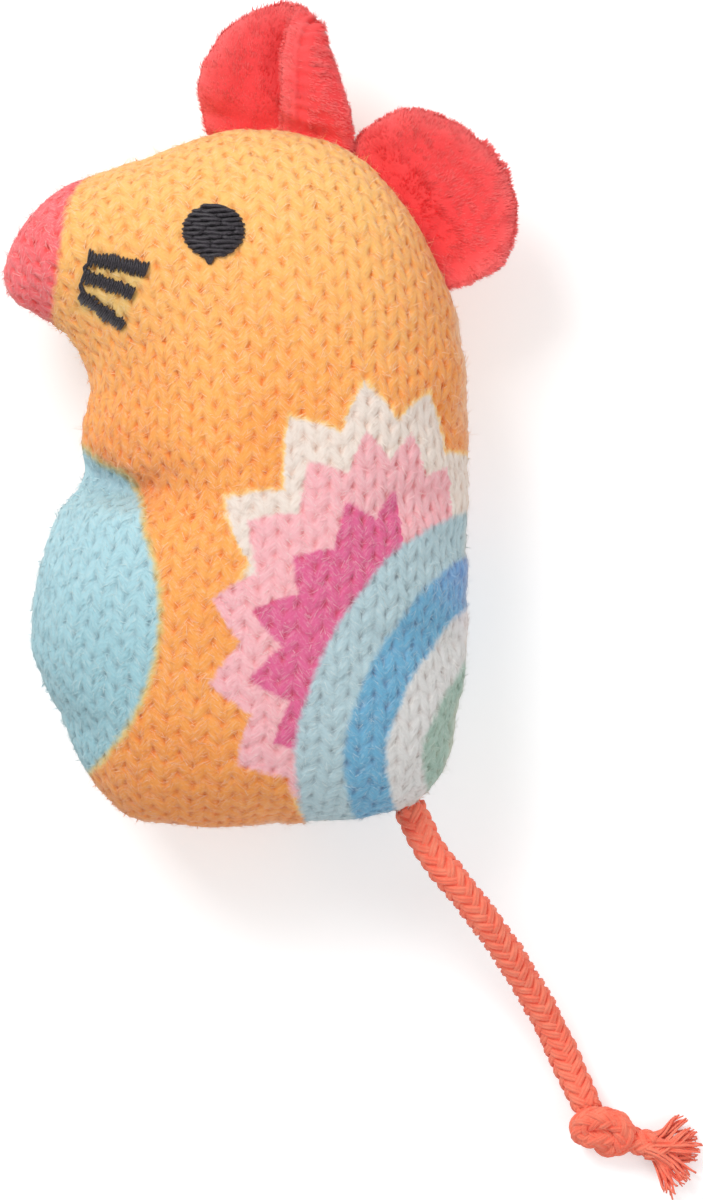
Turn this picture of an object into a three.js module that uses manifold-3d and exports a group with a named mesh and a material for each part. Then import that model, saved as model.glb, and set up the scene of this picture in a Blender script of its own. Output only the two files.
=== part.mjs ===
// A stuffed knit cat toy in the shape of a mouse, lying on its right side.
// Millimetres, +Z up. X runs towards the back of the mouse and Y towards its crown.
// The origin is on the table, under the fullest part of the body.
import * as THREE from "three";
import { mergeVertices } from "three/addons/utils/BufferGeometryUtils.js";
import Module from "manifold-3d";

const wasm = await Module();
wasm.setup();

// Cloth, thread, and the air between pieces that lie on each other
const FIT_GAP = 0.3;
const KNIT_THICKNESS = 1.2;
const BACKING_THICKNESS = 0.4;
const THREAD_DIAMETER = 0.4;
const SEAM_ALLOWANCE = 3.5; // cloth turned in past the bend of the seam
const STITCH_INSET = 1.2; // from the edge of the body to the stitch line

// Stuffed body: how far the seam reaches from the fullest place, and the swell of the filling
const CROWN_RISE = 45.1;
const SEAT_DROP = 35.4;
const BACK_REACH = 23;
const BELLY_REACH = 27.6;
const THROAT_REACH = 21;
const SNOUT_REACH = 30.7;
const BODY_THICKNESS = 34; // through the fullest place
const EDGE_SWELL = 0.62; // 0.5 swells out of the seam steeply, 1 swells evenly
const CROWN_FULLNESS = 1.45; // 1 leaves the sides domed, more fills them out flatter
const REST_CUT = 0.5; // depth of the flat that the body lies on
const CREASE_DEPTH = 2.2; // fold of the cloth across the waist
const CREASE_WIDTH = 3.2;
const CREASE_START = { throat: -1, middle: 6.6 };
const CREASE_END = { throat: 8, middle: 2.4 };

// Course of the side seam, once round the body. Each place is given by its distance from one of
// the lines across (snout, throat, belly, centre or back) and one of the lines along the body
// (crown, middle or seat).
const SEAM_LANDMARKS = {
  noseTip: { snout: 0, crown: -17 },
  noseTop: { snout: 1.7, crown: -11.9 },
  bridge: { snout: 6.8, crown: -6.8 },
  brow: { centre: -13.8, crown: -2.8 },
  earFront: { centre: -7.2, crown: -0.7 },
  crown: { centre: -1.5, crown: 0 },
  earMiddle: { centre: 4.6, crown: -1.3 },
  earNotch: { back: -13, crown: -3.5 },
  nape: { back: -7.5, crown: -9.1 },
  earEnd: { back: -2.9, crown: -17.5 },
  shoulder: { back: -0.7, crown: -25.9 },
  back: { back: 0, middle: -4.6 },
  hip: { back: -0.7, seat: 15.8 },
  rump: { back: -3.1, seat: 6.6 },
  tailRoot: { back: -6.8, seat: 2 },
  haunch: { centre: 7.2, seat: 0.4 },
  base: { centre: -5.2, seat: 0 },
  heel: { belly: 12.6, seat: 0.7 },
  toe: { belly: 7.7, seat: 4.7 },
  thigh: { belly: 3.1, seat: 13.1 },
  belly: { belly: 0, seat: 20.7 },
  bellyTop: { belly: 0.5, middle: -6.3 },
  ribs: { belly: 3, middle: 0.9 },
  waist: { throat: -0.7, middle: 4.8 },
  chest: { throat: -0.6, middle: 10.9 },
  throat: { throat: 0, crown: -29.3 },
  jaw: { snout: 7.7, crown: -24.6 },
  chin: { snout: 4.5, crown: -21.9 },
  noseUnder: { snout: 1, crown: -19.8 },
};
const MIDDLE = { centre: 2.3, crown: -31.3 }; // a place from which all of the seam is in sight

// Catnip, in the middle of the filling
const CATNIP_DIAMETER = 22;
const CATNIP_THICKNESS = 10;

// Stitched face, the same on both sides
const EYE_PLACE = { centre: -6.4, crown: -11.9 };
const EYE_WIDTH = 7.1;
const EYE_HEIGHT = 6.2;
const EYE_RISE = 0.9;
const WHISKER_RISE = 0.7;
const WHISKERS = {
  upper: { root: { snout: 10.1, crown: -15.2 }, tip: { snout: 16.7, crown: -16.6 }, width: 1.6 },
  middle: { root: { snout: 9.5, crown: -17.2 }, tip: { snout: 15.1, crown: -19.2 }, width: 1.5 },
  lower: { root: { snout: 9.1, crown: -19.5 }, tip: { snout: 13.9, crown: -22.9 }, width: 1.3 },
};
const BACKING_PLACE = { centre: -13.2, crown: -15.3 };
const BACKING_LENGTH = 23;
const BACKING_WIDTH = 11;
const BACKING_TURN = 0.4; // radians

// Plush ears, each of two plies sewn along the rim
const EAR_PLY = 1.4;
const EAR_RIM = 0.3;
const EAR_CURL_START = -1.8; // where the curl begins, from the middle of the ear
const EARS = {
  front: {
    from: "earFront",
    to: "earNotch",
    shift: -2.0, // of the widest place, along the fold line
    width: 18.2,
    height: 14.2,
    widest: 2.6, // height of the widest place above the fold line
    curl: 4.2, // rise of the side that curls over
  },
  rear: {
    from: "earNotch",
    to: "earEnd",
    shift: -0.2,
    width: 21.6,
    height: 11.6,
    widest: 3.4,
    curl: 3.0,
  },
};

// Braided tail, held in the seam by a knot inside and knotted again at its frayed end
const TAIL_DIAMETER = 3.6;
const ANCHOR_DEPTH = 10;
const STOPPER_DIAMETER = 6;
const KNOT_LENGTH = 6.2;
const KNOT_WIDTH = 7.2;
const KNOT_HEIGHT = 5.4;
const TUFT_LENGTH = 6.4;
const TUFT_TURN = -0.14; // heading of the frayed end, radians from X
const TUFT_SPREAD = 0.7;
const STRAND_COUNT = 30;
const STRAND_DIAMETER = 0.55;
// Plan of the tail from its swivel point; its height falls from the seam to that of the knot
const TAIL_PLAN = [
  [0, 0], [1.3, -2.1], [2.7, -4.1], [4.2, -6.1], [5.8, -8.1], [7.4, -10.2],
  [9.0, -12.4], [10.6, -14.7], [12.0, -17.0], [13.4, -19.3], [14.6, -21.6],
  [15.7, -23.9], [16.8, -26.2], [17.8, -28.5], [18.8, -30.6], [19.4, -32.0],
];
const FALL_START = 0.08; // where along the tail it starts to fall, and where it lies down
const FALL_END = 0.86;

// Fineness of the skins
const SPOKES = 66;
const OUTER_RINGS = 9;
const INNER_RINGS = 6;

const SEAM_SPACE = THREAD_DIAMETER + 2 * FIT_GAP; // between the two turned-in edges
const REST_DEPTH = BODY_THICKNESS / 2 - REST_CUT; // from the seam plane to the table
const BACKING_INSET = KNIT_THICKNESS + FIT_GAP;
const FILL_INSET = BACKING_INSET + BACKING_THICKNESS + FIT_GAP;
const TURNED_EDGE = SEAM_SPACE / 2 + KNIT_THICKNESS; // height of a turned-in edge
const TAIL_RADIUS = TAIL_DIAMETER / 2;

// Lines across and along the body, and a place given by its distances from two of them
const ACROSS = {
  snout: -SNOUT_REACH,
  throat: -THROAT_REACH,
  belly: -BELLY_REACH,
  centre: 0,
  back: BACK_REACH,
};
const ALONG = { crown: CROWN_RISE, middle: 0, seat: -SEAT_DROP };

function placeOf(distances) {
  const place = new THREE.Vector3();
  for (const [line, distance] of Object.entries(distances)) {
    if (line in ACROSS) {
      place.x = ACROSS[line] + distance;
    } else {
      place.y = ALONG[line] + distance;
    }
  }
  return place;
}

// Closed skin through rings of points, with one point closing each end
function skin(startPoint, rings, endPoint) {
  const points = [startPoint, ...rings.flat(), endPoint];
  const count = rings[0].length;
  const last = points.length - 1;
  const faces = [];
  for (let j = 0; j < count; j += 1) {
    const k = (j + 1) % count;
    faces.push([0, 1 + j, 1 + k]);
    for (let r = 0; r + 1 < rings.length; r += 1) {
      const near = 1 + r * count;
      const far = near + count;
      faces.push([near + j, far + j, far + k]);
      faces.push([near + j, far + k, near + k]);
    }
    faces.push([last - count + k, last - count + j, last]);
  }
  let volume = 0;
  for (const [a, b, c] of faces) {
    volume += points[a].dot(new THREE.Vector3().crossVectors(points[b], points[c]));
  }
  const outward = volume > 0 ? faces : faces.map(([a, b, c]) => [a, c, b]);
  const geometry = new THREE.BufferGeometry();
  const coordinates = points.flatMap((point) => point.toArray());
  geometry.setAttribute("position", new THREE.Float32BufferAttribute(coordinates, 3));
  geometry.setIndex(outward.flat());
  geometry.computeVertexNormals();
  return geometry;
}

// Solids for joining and cutting
function solidOf(geometry) {
  const bare = geometry.clone();
  bare.deleteAttribute("normal");
  bare.deleteAttribute("uv");
  const welded = mergeVertices(bare, 1e-4);
  const mesh = new wasm.Mesh({
    numProp: 3,
    vertProperties: Float32Array.from(welded.attributes.position.array),
    triVerts: Uint32Array.from(welded.index.array),
  });
  return new wasm.Manifold(mesh);
}

function geometryOf(solid) {
  const mesh = solid.getMesh();
  const geometry = new THREE.BufferGeometry();
  const coordinates = Float32Array.from(mesh.vertProperties);
  geometry.setAttribute("position", new THREE.Float32BufferAttribute(coordinates, 3));
  geometry.setIndex(Array.from(mesh.triVerts));
  geometry.computeVertexNormals();
  return geometry;
}

function joined(geometries) {
  return geometryOf(wasm.Manifold.union(geometries.map(solidOf)));
}

function cut(geometry, tools) {
  const tool = wasm.Manifold.union(tools.map(solidOf));
  return geometryOf(wasm.Manifold.difference(solidOf(geometry), tool));
}

function roundSection(diameter, sides) {
  const corners = [];
  for (let i = 0; i < sides; i += 1) {
    const turn = (2 * Math.PI * i) / sides;
    corners.push(new THREE.Vector2(Math.cos(turn), Math.sin(turn)).multiplyScalar(diameter / 2));
  }
  return new THREE.Shape(corners);
}

function tubeAlong(points, diameter, sides, steps) {
  const path = new THREE.CatmullRomCurve3(points);
  const options = { extrudePath: path, steps, bevelEnabled: false };
  return new THREE.ExtrudeGeometry(roundSection(diameter, sides), options);
}

// Rod with its axis along a direction in the seam plane
function rod(start, end, diameter, sides) {
  const length = start.distanceTo(end);
  const geometry = new THREE.CylinderGeometry(diameter / 2, diameter / 2, length, sides);
  const along = new THREE.Vector3().subVectors(end, start).normalize();
  geometry.applyQuaternion(new THREE.Quaternion().setFromUnitVectors(new THREE.Vector3(0, 1, 0), along));
  const centre = new THREE.Vector3().addVectors(start, end).multiplyScalar(0.5);
  return geometry.translate(centre.x, centre.y, centre.z);
}

function ball(centre, diameter, sides) {
  const geometry = new THREE.SphereGeometry(diameter / 2, sides, sides / 2);
  return geometry.translate(centre.x, centre.y, centre.z);
}

// Seam: a smooth closed curve through its landmarks
const seam = new THREE.CatmullRomCurve3(Object.values(SEAM_LANDMARKS).map(placeOf), true, "centripetal");
const SEAM_SAMPLES = 480;
const seamPoints = seam.getSpacedPoints(SEAM_SAMPLES).slice(0, SEAM_SAMPLES);
const seamStep = seam.getLength() / SEAM_SAMPLES;

// Share of the way round the seam at which a landmark lies
function seamShare(name) {
  const place = placeOf(SEAM_LANDMARKS[name]);
  let nearest = 0;
  for (let i = 1; i < SEAM_SAMPLES; i += 1) {
    if (seamPoints[i].distanceTo(place) < seamPoints[nearest].distanceTo(place)) {
      nearest = i;
    }
  }
  return nearest / SEAM_SAMPLES;
}

// The landmarks run clockwise, so the outside is to the left of the seam's heading
function seamOutward(share) {
  const heading = seam.getTangentAt(((share % 1) + 1) % 1);
  return new THREE.Vector3(-heading.y, heading.x, 0);
}

// Room around a place: the same as its distance from a straight seam nearby
function room(x, y) {
  let pull = 0;
  for (const point of seamPoints) {
    pull += seamStep / ((x - point.x) ** 2 + (y - point.y) ** 2);
  }
  return Math.PI / pull;
}

const fullestRoom = room(0, 0);
const fullestHeight = BODY_THICKNESS / 2 - SEAM_SPACE / 2;

const crease = new THREE.Line3(placeOf(CREASE_START), placeOf(CREASE_END));

function creaseFall(x, y) {
  const nearest = new THREE.Vector3();
  const place = new THREE.Vector3(x, y, 0);
  crease.closestPointToPoint(place, true, nearest);
  return Math.exp(-((place.distanceTo(nearest) / CREASE_WIDTH) ** 2));
}

// Height of the cloth's outside above the seam plane
function coverHeight(x, y) {
  const share = Math.min(1, (room(x, y) / fullestRoom) ** EDGE_SWELL);
  const swell = fullestHeight * (1 - (1 - share) ** CROWN_FULLNESS);
  const fold = Math.min(CREASE_DEPTH, swell / 3) * creaseFall(x, y);
  return SEAM_SPACE / 2 + swell - fold;
}

// Height of a layer that lies at an even depth under the cloth's outside
function layerHeight(x, y, inset) {
  const height = coverHeight(x, y);
  const step = 0.05;
  const slopeX = (coverHeight(x + step, y) - height) / step;
  const slopeY = (coverHeight(x, y + step) - height) / step;
  return height - inset * Math.sqrt(1 + slopeX ** 2 + slopeY ** 2);
}

// Spokes from the middle of the body to the seam
const middle = placeOf(MIDDLE);
const spokes = seam.getSpacedPoints(SPOKES).slice(0, SPOKES).map((end) => ({
  length: end.distanceTo(middle),
  at: (share) => new THREE.Vector3().lerpVectors(middle, end, share),
}));

// Share of a spoke at which a layer comes down to a height
function spokeShare(spoke, inset, height) {
  const higher = (share) => {
    const place = spoke.at(share);
    return layerHeight(place.x, place.y, inset) > height;
  };
  const step = 0.01;
  let outer = 1 - step;
  while (outer > step && !higher(outer)) {
    outer -= step;
  }
  return outer;
}

// Rings of a layer from a rim share on every spoke in to the middle
function layerRings(rims, count, inset) {
  const rings = [];
  for (let r = 0; r < count; r += 1) {
    const share = 1 - (r / count) ** 2;
    rings.push(spokes.map((spoke, j) => {
      const place = spoke.at(rims[j] * share);
      place.z = layerHeight(place.x, place.y, inset);
      return place;
    }));
  }
  return rings;
}

function levelRing(rims, height) {
  return spokes.map((spoke, j) => spoke.at(rims[j]).setZ(height));
}

function above(height) {
  return new THREE.Vector3(middle.x, middle.y, height);
}

const turnShares = spokes.map((spoke) => spokeShare(spoke, KNIT_THICKNESS, TURNED_EDGE));
const edgeShares = spokes.map((spoke, j) => turnShares[j] - SEAM_ALLOWANCE / spoke.length);

// Turn a left-hand piece into a right-hand one
function mirrored(geometry) {
  const copy = geometry.clone().scale(1, 1, -1);
  const order = Array.from(copy.index.array);
  const turned = [];
  for (let i = 0; i < order.length; i += 3) {
    turned.push(order[i], order[i + 2], order[i + 1]);
  }
  copy.setIndex(turned);
  copy.computeVertexNormals();
  return copy;
}

// Press the points of a right-hand piece that reach below the table onto it
function pressedFlat(geometry) {
  const position = geometry.attributes.position;
  for (let i = 0; i < position.count; i += 1) {
    position.setZ(i, Math.max(position.getZ(i), -REST_DEPTH));
  }
  geometry.computeVertexNormals();
  return geometry;
}

// Knit panel: a dome of cloth with its edge turned in along the seam
function panel() {
  const whole = spokes.map(() => 1);
  const outside = layerRings(whole, OUTER_RINGS, 0);
  outside[0] = levelRing(whole, SEAM_SPACE / 2);
  const inside = layerRings(turnShares, INNER_RINGS, KNIT_THICKNESS);
  inside[0] = levelRing(turnShares, TURNED_EDGE);
  const rings = [
    ...outside.reverse(),
    levelRing(edgeShares, SEAM_SPACE / 2),
    levelRing(edgeShares, TURNED_EDGE),
    ...inside,
  ];
  const crown = above(coverHeight(middle.x, middle.y));
  return skin(crown, rings, above(layerHeight(middle.x, middle.y, KNIT_THICKNESS)));
}

// Half of the filling: rests on the turned-in edge and meets the other half in the middle
function filling() {
  const floor = TURNED_EDGE + FIT_GAP;
  const rims = spokes.map((spoke) => spokeShare(spoke, FILL_INSET, floor));
  const steps = spokes.map((spoke, j) => edgeShares[j] - FIT_GAP / spoke.length);
  const dome = layerRings(rims, INNER_RINGS, FILL_INSET);
  dome[0] = levelRing(rims, floor);
  const rings = [
    ...dome.reverse(),
    levelRing(steps, floor),
    levelRing(steps, FIT_GAP / 2),
  ];
  return skin(above(layerHeight(middle.x, middle.y, FILL_INSET)), rings, above(FIT_GAP / 2));
}

function catnip(allowance) {
  const geometry = new THREE.SphereGeometry(1, 18, 10);
  const radius = CATNIP_DIAMETER / 2 + allowance;
  return geometry.scale(radius, radius, CATNIP_THICKNESS / 2 + allowance);
}

// Flat piece that follows the body: an oval with straight sides where its ends are apart
function patch({ from, to, width, height, inset, thickness, rounded }) {
  const centre = new THREE.Vector2().addVectors(from, to).multiplyScalar(0.5);
  const heading = new THREE.Vector2().subVectors(to, from);
  const turn = heading.length() > 0 ? heading.angle() : 0;
  const corners = [];
  const count = 16;
  for (let i = 0; i < count; i += 1) {
    const angle = (2 * Math.PI * (i + 0.5)) / count;
    const corner = new THREE.Vector2((width / 2) * Math.cos(angle), (height / 2) * Math.sin(angle));
    corner.x += Math.sign(corner.x) * heading.length() / 2;
    corners.push(corner.rotateAround(new THREE.Vector2(), turn));
  }
  const ring = (share, lift) => corners.map((corner) => {
    const place = corner.clone().multiplyScalar(share).add(centre);
    const depth = inset - lift;
    return new THREE.Vector3(place.x, place.y, layerHeight(place.x, place.y, depth));
  });
  const full = rounded ? (share) => thickness * Math.sqrt(1 - 0.8 * share ** 2) : () => thickness;
  const shares = [0.6, 1];
  const top = shares.map((share) => ring(share, full(share)));
  const bottom = shares.map((share) => ring(share, 0)).reverse();
  const pole = (lift) => ring(0, lift)[0];
  return skin(pole(full(0)), [...top, ...bottom], pole(0));
}

function eye() {
  const place = placeOf(EYE_PLACE);
  const oval = { from: place, to: place, width: EYE_WIDTH, height: EYE_HEIGHT };
  return patch({ ...oval, inset: -FIT_GAP, thickness: EYE_RISE, rounded: true });
}

function whisker({ root, tip, width }) {
  const bar = { from: placeOf(root), to: placeOf(tip), width, height: width };
  return patch({ ...bar, inset: -FIT_GAP, thickness: WHISKER_RISE, rounded: true });
}

// Stiff patch behind the stitching
function backing(allowance, thickness) {
  const half = (BACKING_LENGTH - BACKING_WIDTH) / 2;
  const along = new THREE.Vector3(Math.cos(BACKING_TURN), Math.sin(BACKING_TURN), 0);
  const from = placeOf(BACKING_PLACE).addScaledVector(along, -half);
  const to = placeOf(BACKING_PLACE).addScaledVector(along, half);
  const width = BACKING_WIDTH + 2 * allowance;
  const inset = BACKING_INSET + BACKING_THICKNESS + allowance;
  return patch({ from, to, width, height: width, inset, thickness, rounded: false });
}

// Room that the filling leaves for the patch, open to the cloth
function backingRoom() {
  return backing(FIT_GAP, FIT_GAP + BACKING_THICKNESS + BACKING_INSET);
}

// Ear ply in the ear's own frame: X along its fold line, Y away from the body
function earPly({ shift, width, height, widest, curl }, side) {
  const halfWidth = width / 2;
  const rise = height - widest;
  const foot = -Math.asin(widest / rise);
  const count = 25;
  const corners = [];
  for (let i = 0; i < count; i += 1) {
    const angle = foot + ((Math.PI - 2 * foot) * i) / (count - 1);
    const corner = new THREE.Vector2(halfWidth * Math.cos(angle), rise * Math.sin(angle));
    corners.push(corner.add(new THREE.Vector2(shift, widest)));
  }
  const footSteps = 5;
  const footStart = corners[count - 1];
  for (let i = 1; i < footSteps; i += 1) {
    corners.push(new THREE.Vector2().lerpVectors(footStart, corners[0], i / footSteps));
  }
  const centre = new THREE.Vector2(shift, height / 2);
  const cup = (place) => {
    const past = Math.max(0, place.x - shift - EAR_CURL_START);
    const sideways = past / (halfWidth - EAR_CURL_START);
    const away = THREE.MathUtils.smoothstep(place.y, 0, height / 2);
    return curl * sideways ** 2 * away;
  };
  const ring = (share, lift) => corners.map((corner) => {
    const place = new THREE.Vector2().lerpVectors(centre, corner, share);
    return new THREE.Vector3(place.x, place.y, cup(place) + side * lift);
  });
  const pile = (share) => FIT_GAP / 2 + EAR_RIM + (EAR_PLY - EAR_RIM) * Math.sqrt(1 - share ** 4);
  const shares = [0.4, 0.75, 0.93, 1];
  const outside = shares.map((share) => ring(share, pile(share)));
  const inside = shares.map((share) => ring(share, FIT_GAP / 2)).reverse();
  return skin(ring(0, pile(0))[0], [...outside, ...inside], ring(0, FIT_GAP / 2)[0]);
}

// Frame of an ear: on its fold line, just outside the stretch of seam that holds it
function earFrame({ from, to }) {
  const frame = new THREE.Group();
  const first = seamShare(from);
  const last = seamShare(to);
  const start = seam.getPointAt(first);
  const end = seam.getPointAt(last);
  const along = new THREE.Vector3().subVectors(end, start).normalize();
  const outward = new THREE.Vector3(-along.y, along.x, 0);
  const centre = new THREE.Vector3().addVectors(start, end).multiplyScalar(0.5);
  let bulge = 0;
  for (let share = first; share <= last; share += 1 / SEAM_SAMPLES) {
    bulge = Math.max(bulge, seam.getPointAt(share).sub(centre).dot(outward));
  }
  const clear = bulge + EAR_RIM + 1.5 * FIT_GAP;
  frame.position.copy(centre).addScaledVector(outward, clear);
  frame.rotation.z = Math.atan2(along.y, along.x);
  return frame;
}

// Machine stitching inside the edge, and hand stitching where the body was filled
function stitchPoints(first, last, count, sway) {
  const points = [];
  for (let i = 0; i <= count; i += 1) {
    const share = first + ((last - first) * i) / count;
    const inset = STITCH_INSET + (i % 2 === 0 ? sway : -sway);
    const place = seam.getPointAt(((share % 1) + 1) % 1);
    points.push(place.addScaledVector(seamOutward(share), -inset));
  }
  return points;
}

const tailShare = seamShare("tailRoot");
const tailBreak = (TAIL_RADIUS + 2 * FIT_GAP + THREAD_DIAMETER) / seam.getLength();
const heelShare = seamShare("heel");

function seamThread() {
  const points = stitchPoints(heelShare, 1 + tailShare - tailBreak, 96, 0);
  return tubeAlong(points, THREAD_DIAMETER, 4, 112);
}

function closingThread() {
  const first = tailShare + tailBreak;
  const last = heelShare - 2 * THREAD_DIAMETER / seam.getLength();
  return tubeAlong(stitchPoints(first, last, 14, THREAD_DIAMETER), THREAD_DIAMETER, 4, 42);
}

// Tail: its swivel point is just outside the seam
const tailRoot = seam.getPointAt(tailShare);
const tailOutward = seamOutward(tailShare);
const swivel = tailRoot.clone().addScaledVector(tailOutward, TAIL_RADIUS + 2 * FIT_GAP);
const tailPoints = TAIL_PLAN.map(([x, y], i) => {
  const along = i / (TAIL_PLAN.length - 1);
  const fall = THREE.MathUtils.smoothstep(along, FALL_START, FALL_END);
  const height = THREE.MathUtils.lerp(0, KNOT_HEIGHT / 2 - REST_DEPTH, fall);
  return new THREE.Vector3(swivel.x + x, swivel.y + y, height);
});
const tailEnd = tailPoints[tailPoints.length - 1];
const beforeEnd = tailPoints[tailPoints.length - 2];
const endHeading = new THREE.Vector3().subVectors(tailEnd, beforeEnd).setZ(0).normalize();
const stopper = tailRoot.clone().addScaledVector(tailOutward, -ANCHOR_DEPTH);
const anchorEnd = swivel.clone().addScaledVector(tailOutward, -TAIL_RADIUS - FIT_GAP);

function tailAnchor(allowance) {
  const width = TAIL_DIAMETER + 2 * allowance;
  const end = anchorEnd.clone().addScaledVector(tailOutward, allowance);
  return joined([rod(stopper, end, width, 16), ball(stopper, STOPPER_DIAMETER + 2 * allowance, 16)]);
}

function tailCord() {
  return joined([tubeAlong(tailPoints, TAIL_DIAMETER, 8, 20), ball(swivel, TAIL_DIAMETER, 16)]);
}

// Overhand knot: one turn of the cord laid round a core, with the two ends of the cord coming out
const knotCentre = tailEnd.clone().addScaledVector(endHeading, FIT_GAP + KNOT_LENGTH / 2);
const tuftHeading = new THREE.Vector3(Math.cos(TUFT_TURN), Math.sin(TUFT_TURN), 0);

function tailKnot() {
  const turnRadius = (KNOT_WIDTH - TAIL_DIAMETER) / 2;
  const turn = new THREE.TorusGeometry(turnRadius, TAIL_RADIUS, 10, 20);
  turn.scale(1, 1, KNOT_LENGTH / (2 * KNOT_WIDTH));
  turn.rotateX(Math.PI / 2);
  turn.rotateZ(Math.atan2(endHeading.y, endHeading.x) - Math.PI / 4);
  turn.scale(1, 1, KNOT_HEIGHT / KNOT_WIDTH);
  turn.translate(knotCentre.x, knotCentre.y, knotCentre.z);
  const inEnd = knotCentre.clone().addScaledVector(endHeading, -KNOT_LENGTH / 2);
  const outEnd = knotCentre.clone().addScaledVector(tuftHeading, KNOT_LENGTH / 2);
  const ends = [rod(inEnd, knotCentre, TAIL_DIAMETER, 12), rod(knotCentre, outEnd, TAIL_DIAMETER, 12)];
  return joined([turn, ball(knotCentre, TAIL_DIAMETER, 16), ...ends]);
}

// Frayed end: loose strands out of a short stub of cord
function tailTuft() {
  const stubStart = knotCentre.clone().addScaledVector(tuftHeading, KNOT_LENGTH / 2 + FIT_GAP);
  const stubEnd = stubStart.clone().addScaledVector(tuftHeading, TAIL_RADIUS / 2);
  const pieces = [rod(stubStart, stubEnd, TAIL_DIAMETER, 12)];
  const goldenTurn = Math.PI * (3 - Math.sqrt(5));
  for (let i = 0; i < STRAND_COUNT; i += 1) {
    const out = Math.sqrt((i + 0.5) / STRAND_COUNT);
    const sideways = out * Math.cos(i * goldenTurn);
    const upward = out * Math.sin(i * goldenTurn);
    const reach = (TAIL_RADIUS - STRAND_DIAMETER) * out;
    const across = new THREE.Vector3(-tuftHeading.y, tuftHeading.x, 0);
    const start = stubStart.clone().addScaledVector(tuftHeading, TAIL_RADIUS / 4);
    start.addScaledVector(across, (reach * sideways) / out);
    start.z += (reach * upward) / out;
    const end = stubStart.clone().addScaledVector(tuftHeading, TUFT_LENGTH * (1 - 0.3 * out));
    end.addScaledVector(across, TUFT_LENGTH * TUFT_SPREAD * sideways);
    end.z += (TAIL_RADIUS - STRAND_DIAMETER) * upward;
    pieces.push(rod(start, end, STRAND_DIAMETER, 4));
  }
  return joined(pieces);
}

// Assembly
const knitLook = { color: 0xf7b063, roughness: 0.95, metalness: 0 };
const plushLook = { color: 0xee4b4e, roughness: 0.95, metalness: 0 };
const cordLook = { color: 0xf76f58, roughness: 0.9, metalness: 0 };
const stitchLook = { color: 0x2b272c, roughness: 0.6, metalness: 0 };
const fillLook = { color: 0xf2f0ea, roughness: 1, metalness: 0 };
const backingLook = { color: 0xe8e6e0, roughness: 0.9, metalness: 0 };
const catnipLook = { color: 0x7d8450, roughness: 1, metalness: 0 };
const threadLook = { color: 0xf3c08a, roughness: 0.7, metalness: 0 };

const mouse = new THREE.Group();
mouse.position.z = REST_DEPTH;

function add(name, geometry, look, parent = mouse) {
  const mesh = new THREE.Mesh(geometry, new THREE.MeshStandardMaterial(look));
  mesh.name = name;
  parent.add(mesh);
}

const tailHole = tailAnchor(FIT_GAP);
const pocket = catnip(FIT_GAP);
const leftPanel = panel();
const leftFill = cut(filling(), [backingRoom()]);
add("left_panel", cut(leftPanel, [tailHole]), knitLook);
add("right_panel", cut(pressedFlat(mirrored(leftPanel)), [tailHole]), knitLook);
add("left_fill", cut(leftFill, [tailHole, pocket]), fillLook);
add("right_fill", cut(mirrored(leftFill), [tailHole, pocket]), fillLook);
add("catnip_wad", catnip(0), catnipLook);
const leftBacking = backing(0, BACKING_THICKNESS);
add("left_backing", leftBacking, backingLook);
add("right_backing", mirrored(leftBacking), backingLook);
add("left_eye", eye(), stitchLook);
add("right_eye", mirrored(eye()), stitchLook);
for (const [place, bar] of Object.entries(WHISKERS)) {
  add(`left_whisker_${place}`, whisker(bar), stitchLook);
  add(`right_whisker_${place}`, mirrored(whisker(bar)), stitchLook);
}
for (const [place, ear] of Object.entries(EARS)) {
  const frame = earFrame(ear);
  add(`${place}_ear_face`, earPly(ear, 1), plushLook, frame);
  add(`${place}_ear_back`, earPly(ear, -1), plushLook, frame);
  mouse.add(frame);
}
add("seam_thread", seamThread(), threadLook);
add("closing_thread", closingThread(), threadLook);
add("tail_anchor", tailAnchor(0), cordLook);
add("tail_cord", tailCord(), cordLook);
add("tail_knot", tailKnot(), cordLook);
add("tail_tuft", tailTuft(), cordLook);

export default mouse;
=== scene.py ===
import math
from functools import partial

import bpy
import numpy as np
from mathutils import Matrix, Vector, noise
from mathutils.bvhtree import BVHTree


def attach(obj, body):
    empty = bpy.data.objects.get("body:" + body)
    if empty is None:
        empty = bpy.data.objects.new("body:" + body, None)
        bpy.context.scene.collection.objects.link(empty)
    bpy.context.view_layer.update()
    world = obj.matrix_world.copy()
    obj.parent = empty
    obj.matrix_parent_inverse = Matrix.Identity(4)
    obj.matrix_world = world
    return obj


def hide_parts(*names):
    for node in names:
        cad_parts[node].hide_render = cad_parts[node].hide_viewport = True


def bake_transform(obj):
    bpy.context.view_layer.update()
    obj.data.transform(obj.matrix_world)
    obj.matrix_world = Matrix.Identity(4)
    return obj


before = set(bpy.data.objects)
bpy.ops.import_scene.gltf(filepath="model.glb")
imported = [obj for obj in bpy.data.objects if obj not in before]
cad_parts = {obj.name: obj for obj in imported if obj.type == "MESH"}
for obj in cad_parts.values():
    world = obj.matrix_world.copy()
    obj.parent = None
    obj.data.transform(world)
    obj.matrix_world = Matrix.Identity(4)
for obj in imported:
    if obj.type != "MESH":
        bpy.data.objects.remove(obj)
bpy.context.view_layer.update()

# Stuffed body: two knit panels sewn face to face round the edge, turned and filled with fibre.
# The seam lies in one level plane; a cloth simulation swells the knit inside it, and the fold
# across the waist stays where the seam draws the cloth in.
seam_plane = 0.0165
table_clearance, knit_clearance = 0.0002, 0.0004
fullest_rise, seam_rise = 0.0165, 0.0005
edge_roundness, crown_fullness = 0.62, 1.45
fold_depth, fold_width = 0.0026, 0.003
tuck_depth, tuck_share, tuck_steps = 0.0034, 0.66, 40
pillow_rings, unstuffed_share, cloth_grid = 28, 0.88, 0.0011
stuffing_frames, most_swelling = 20, 0.0028
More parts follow.
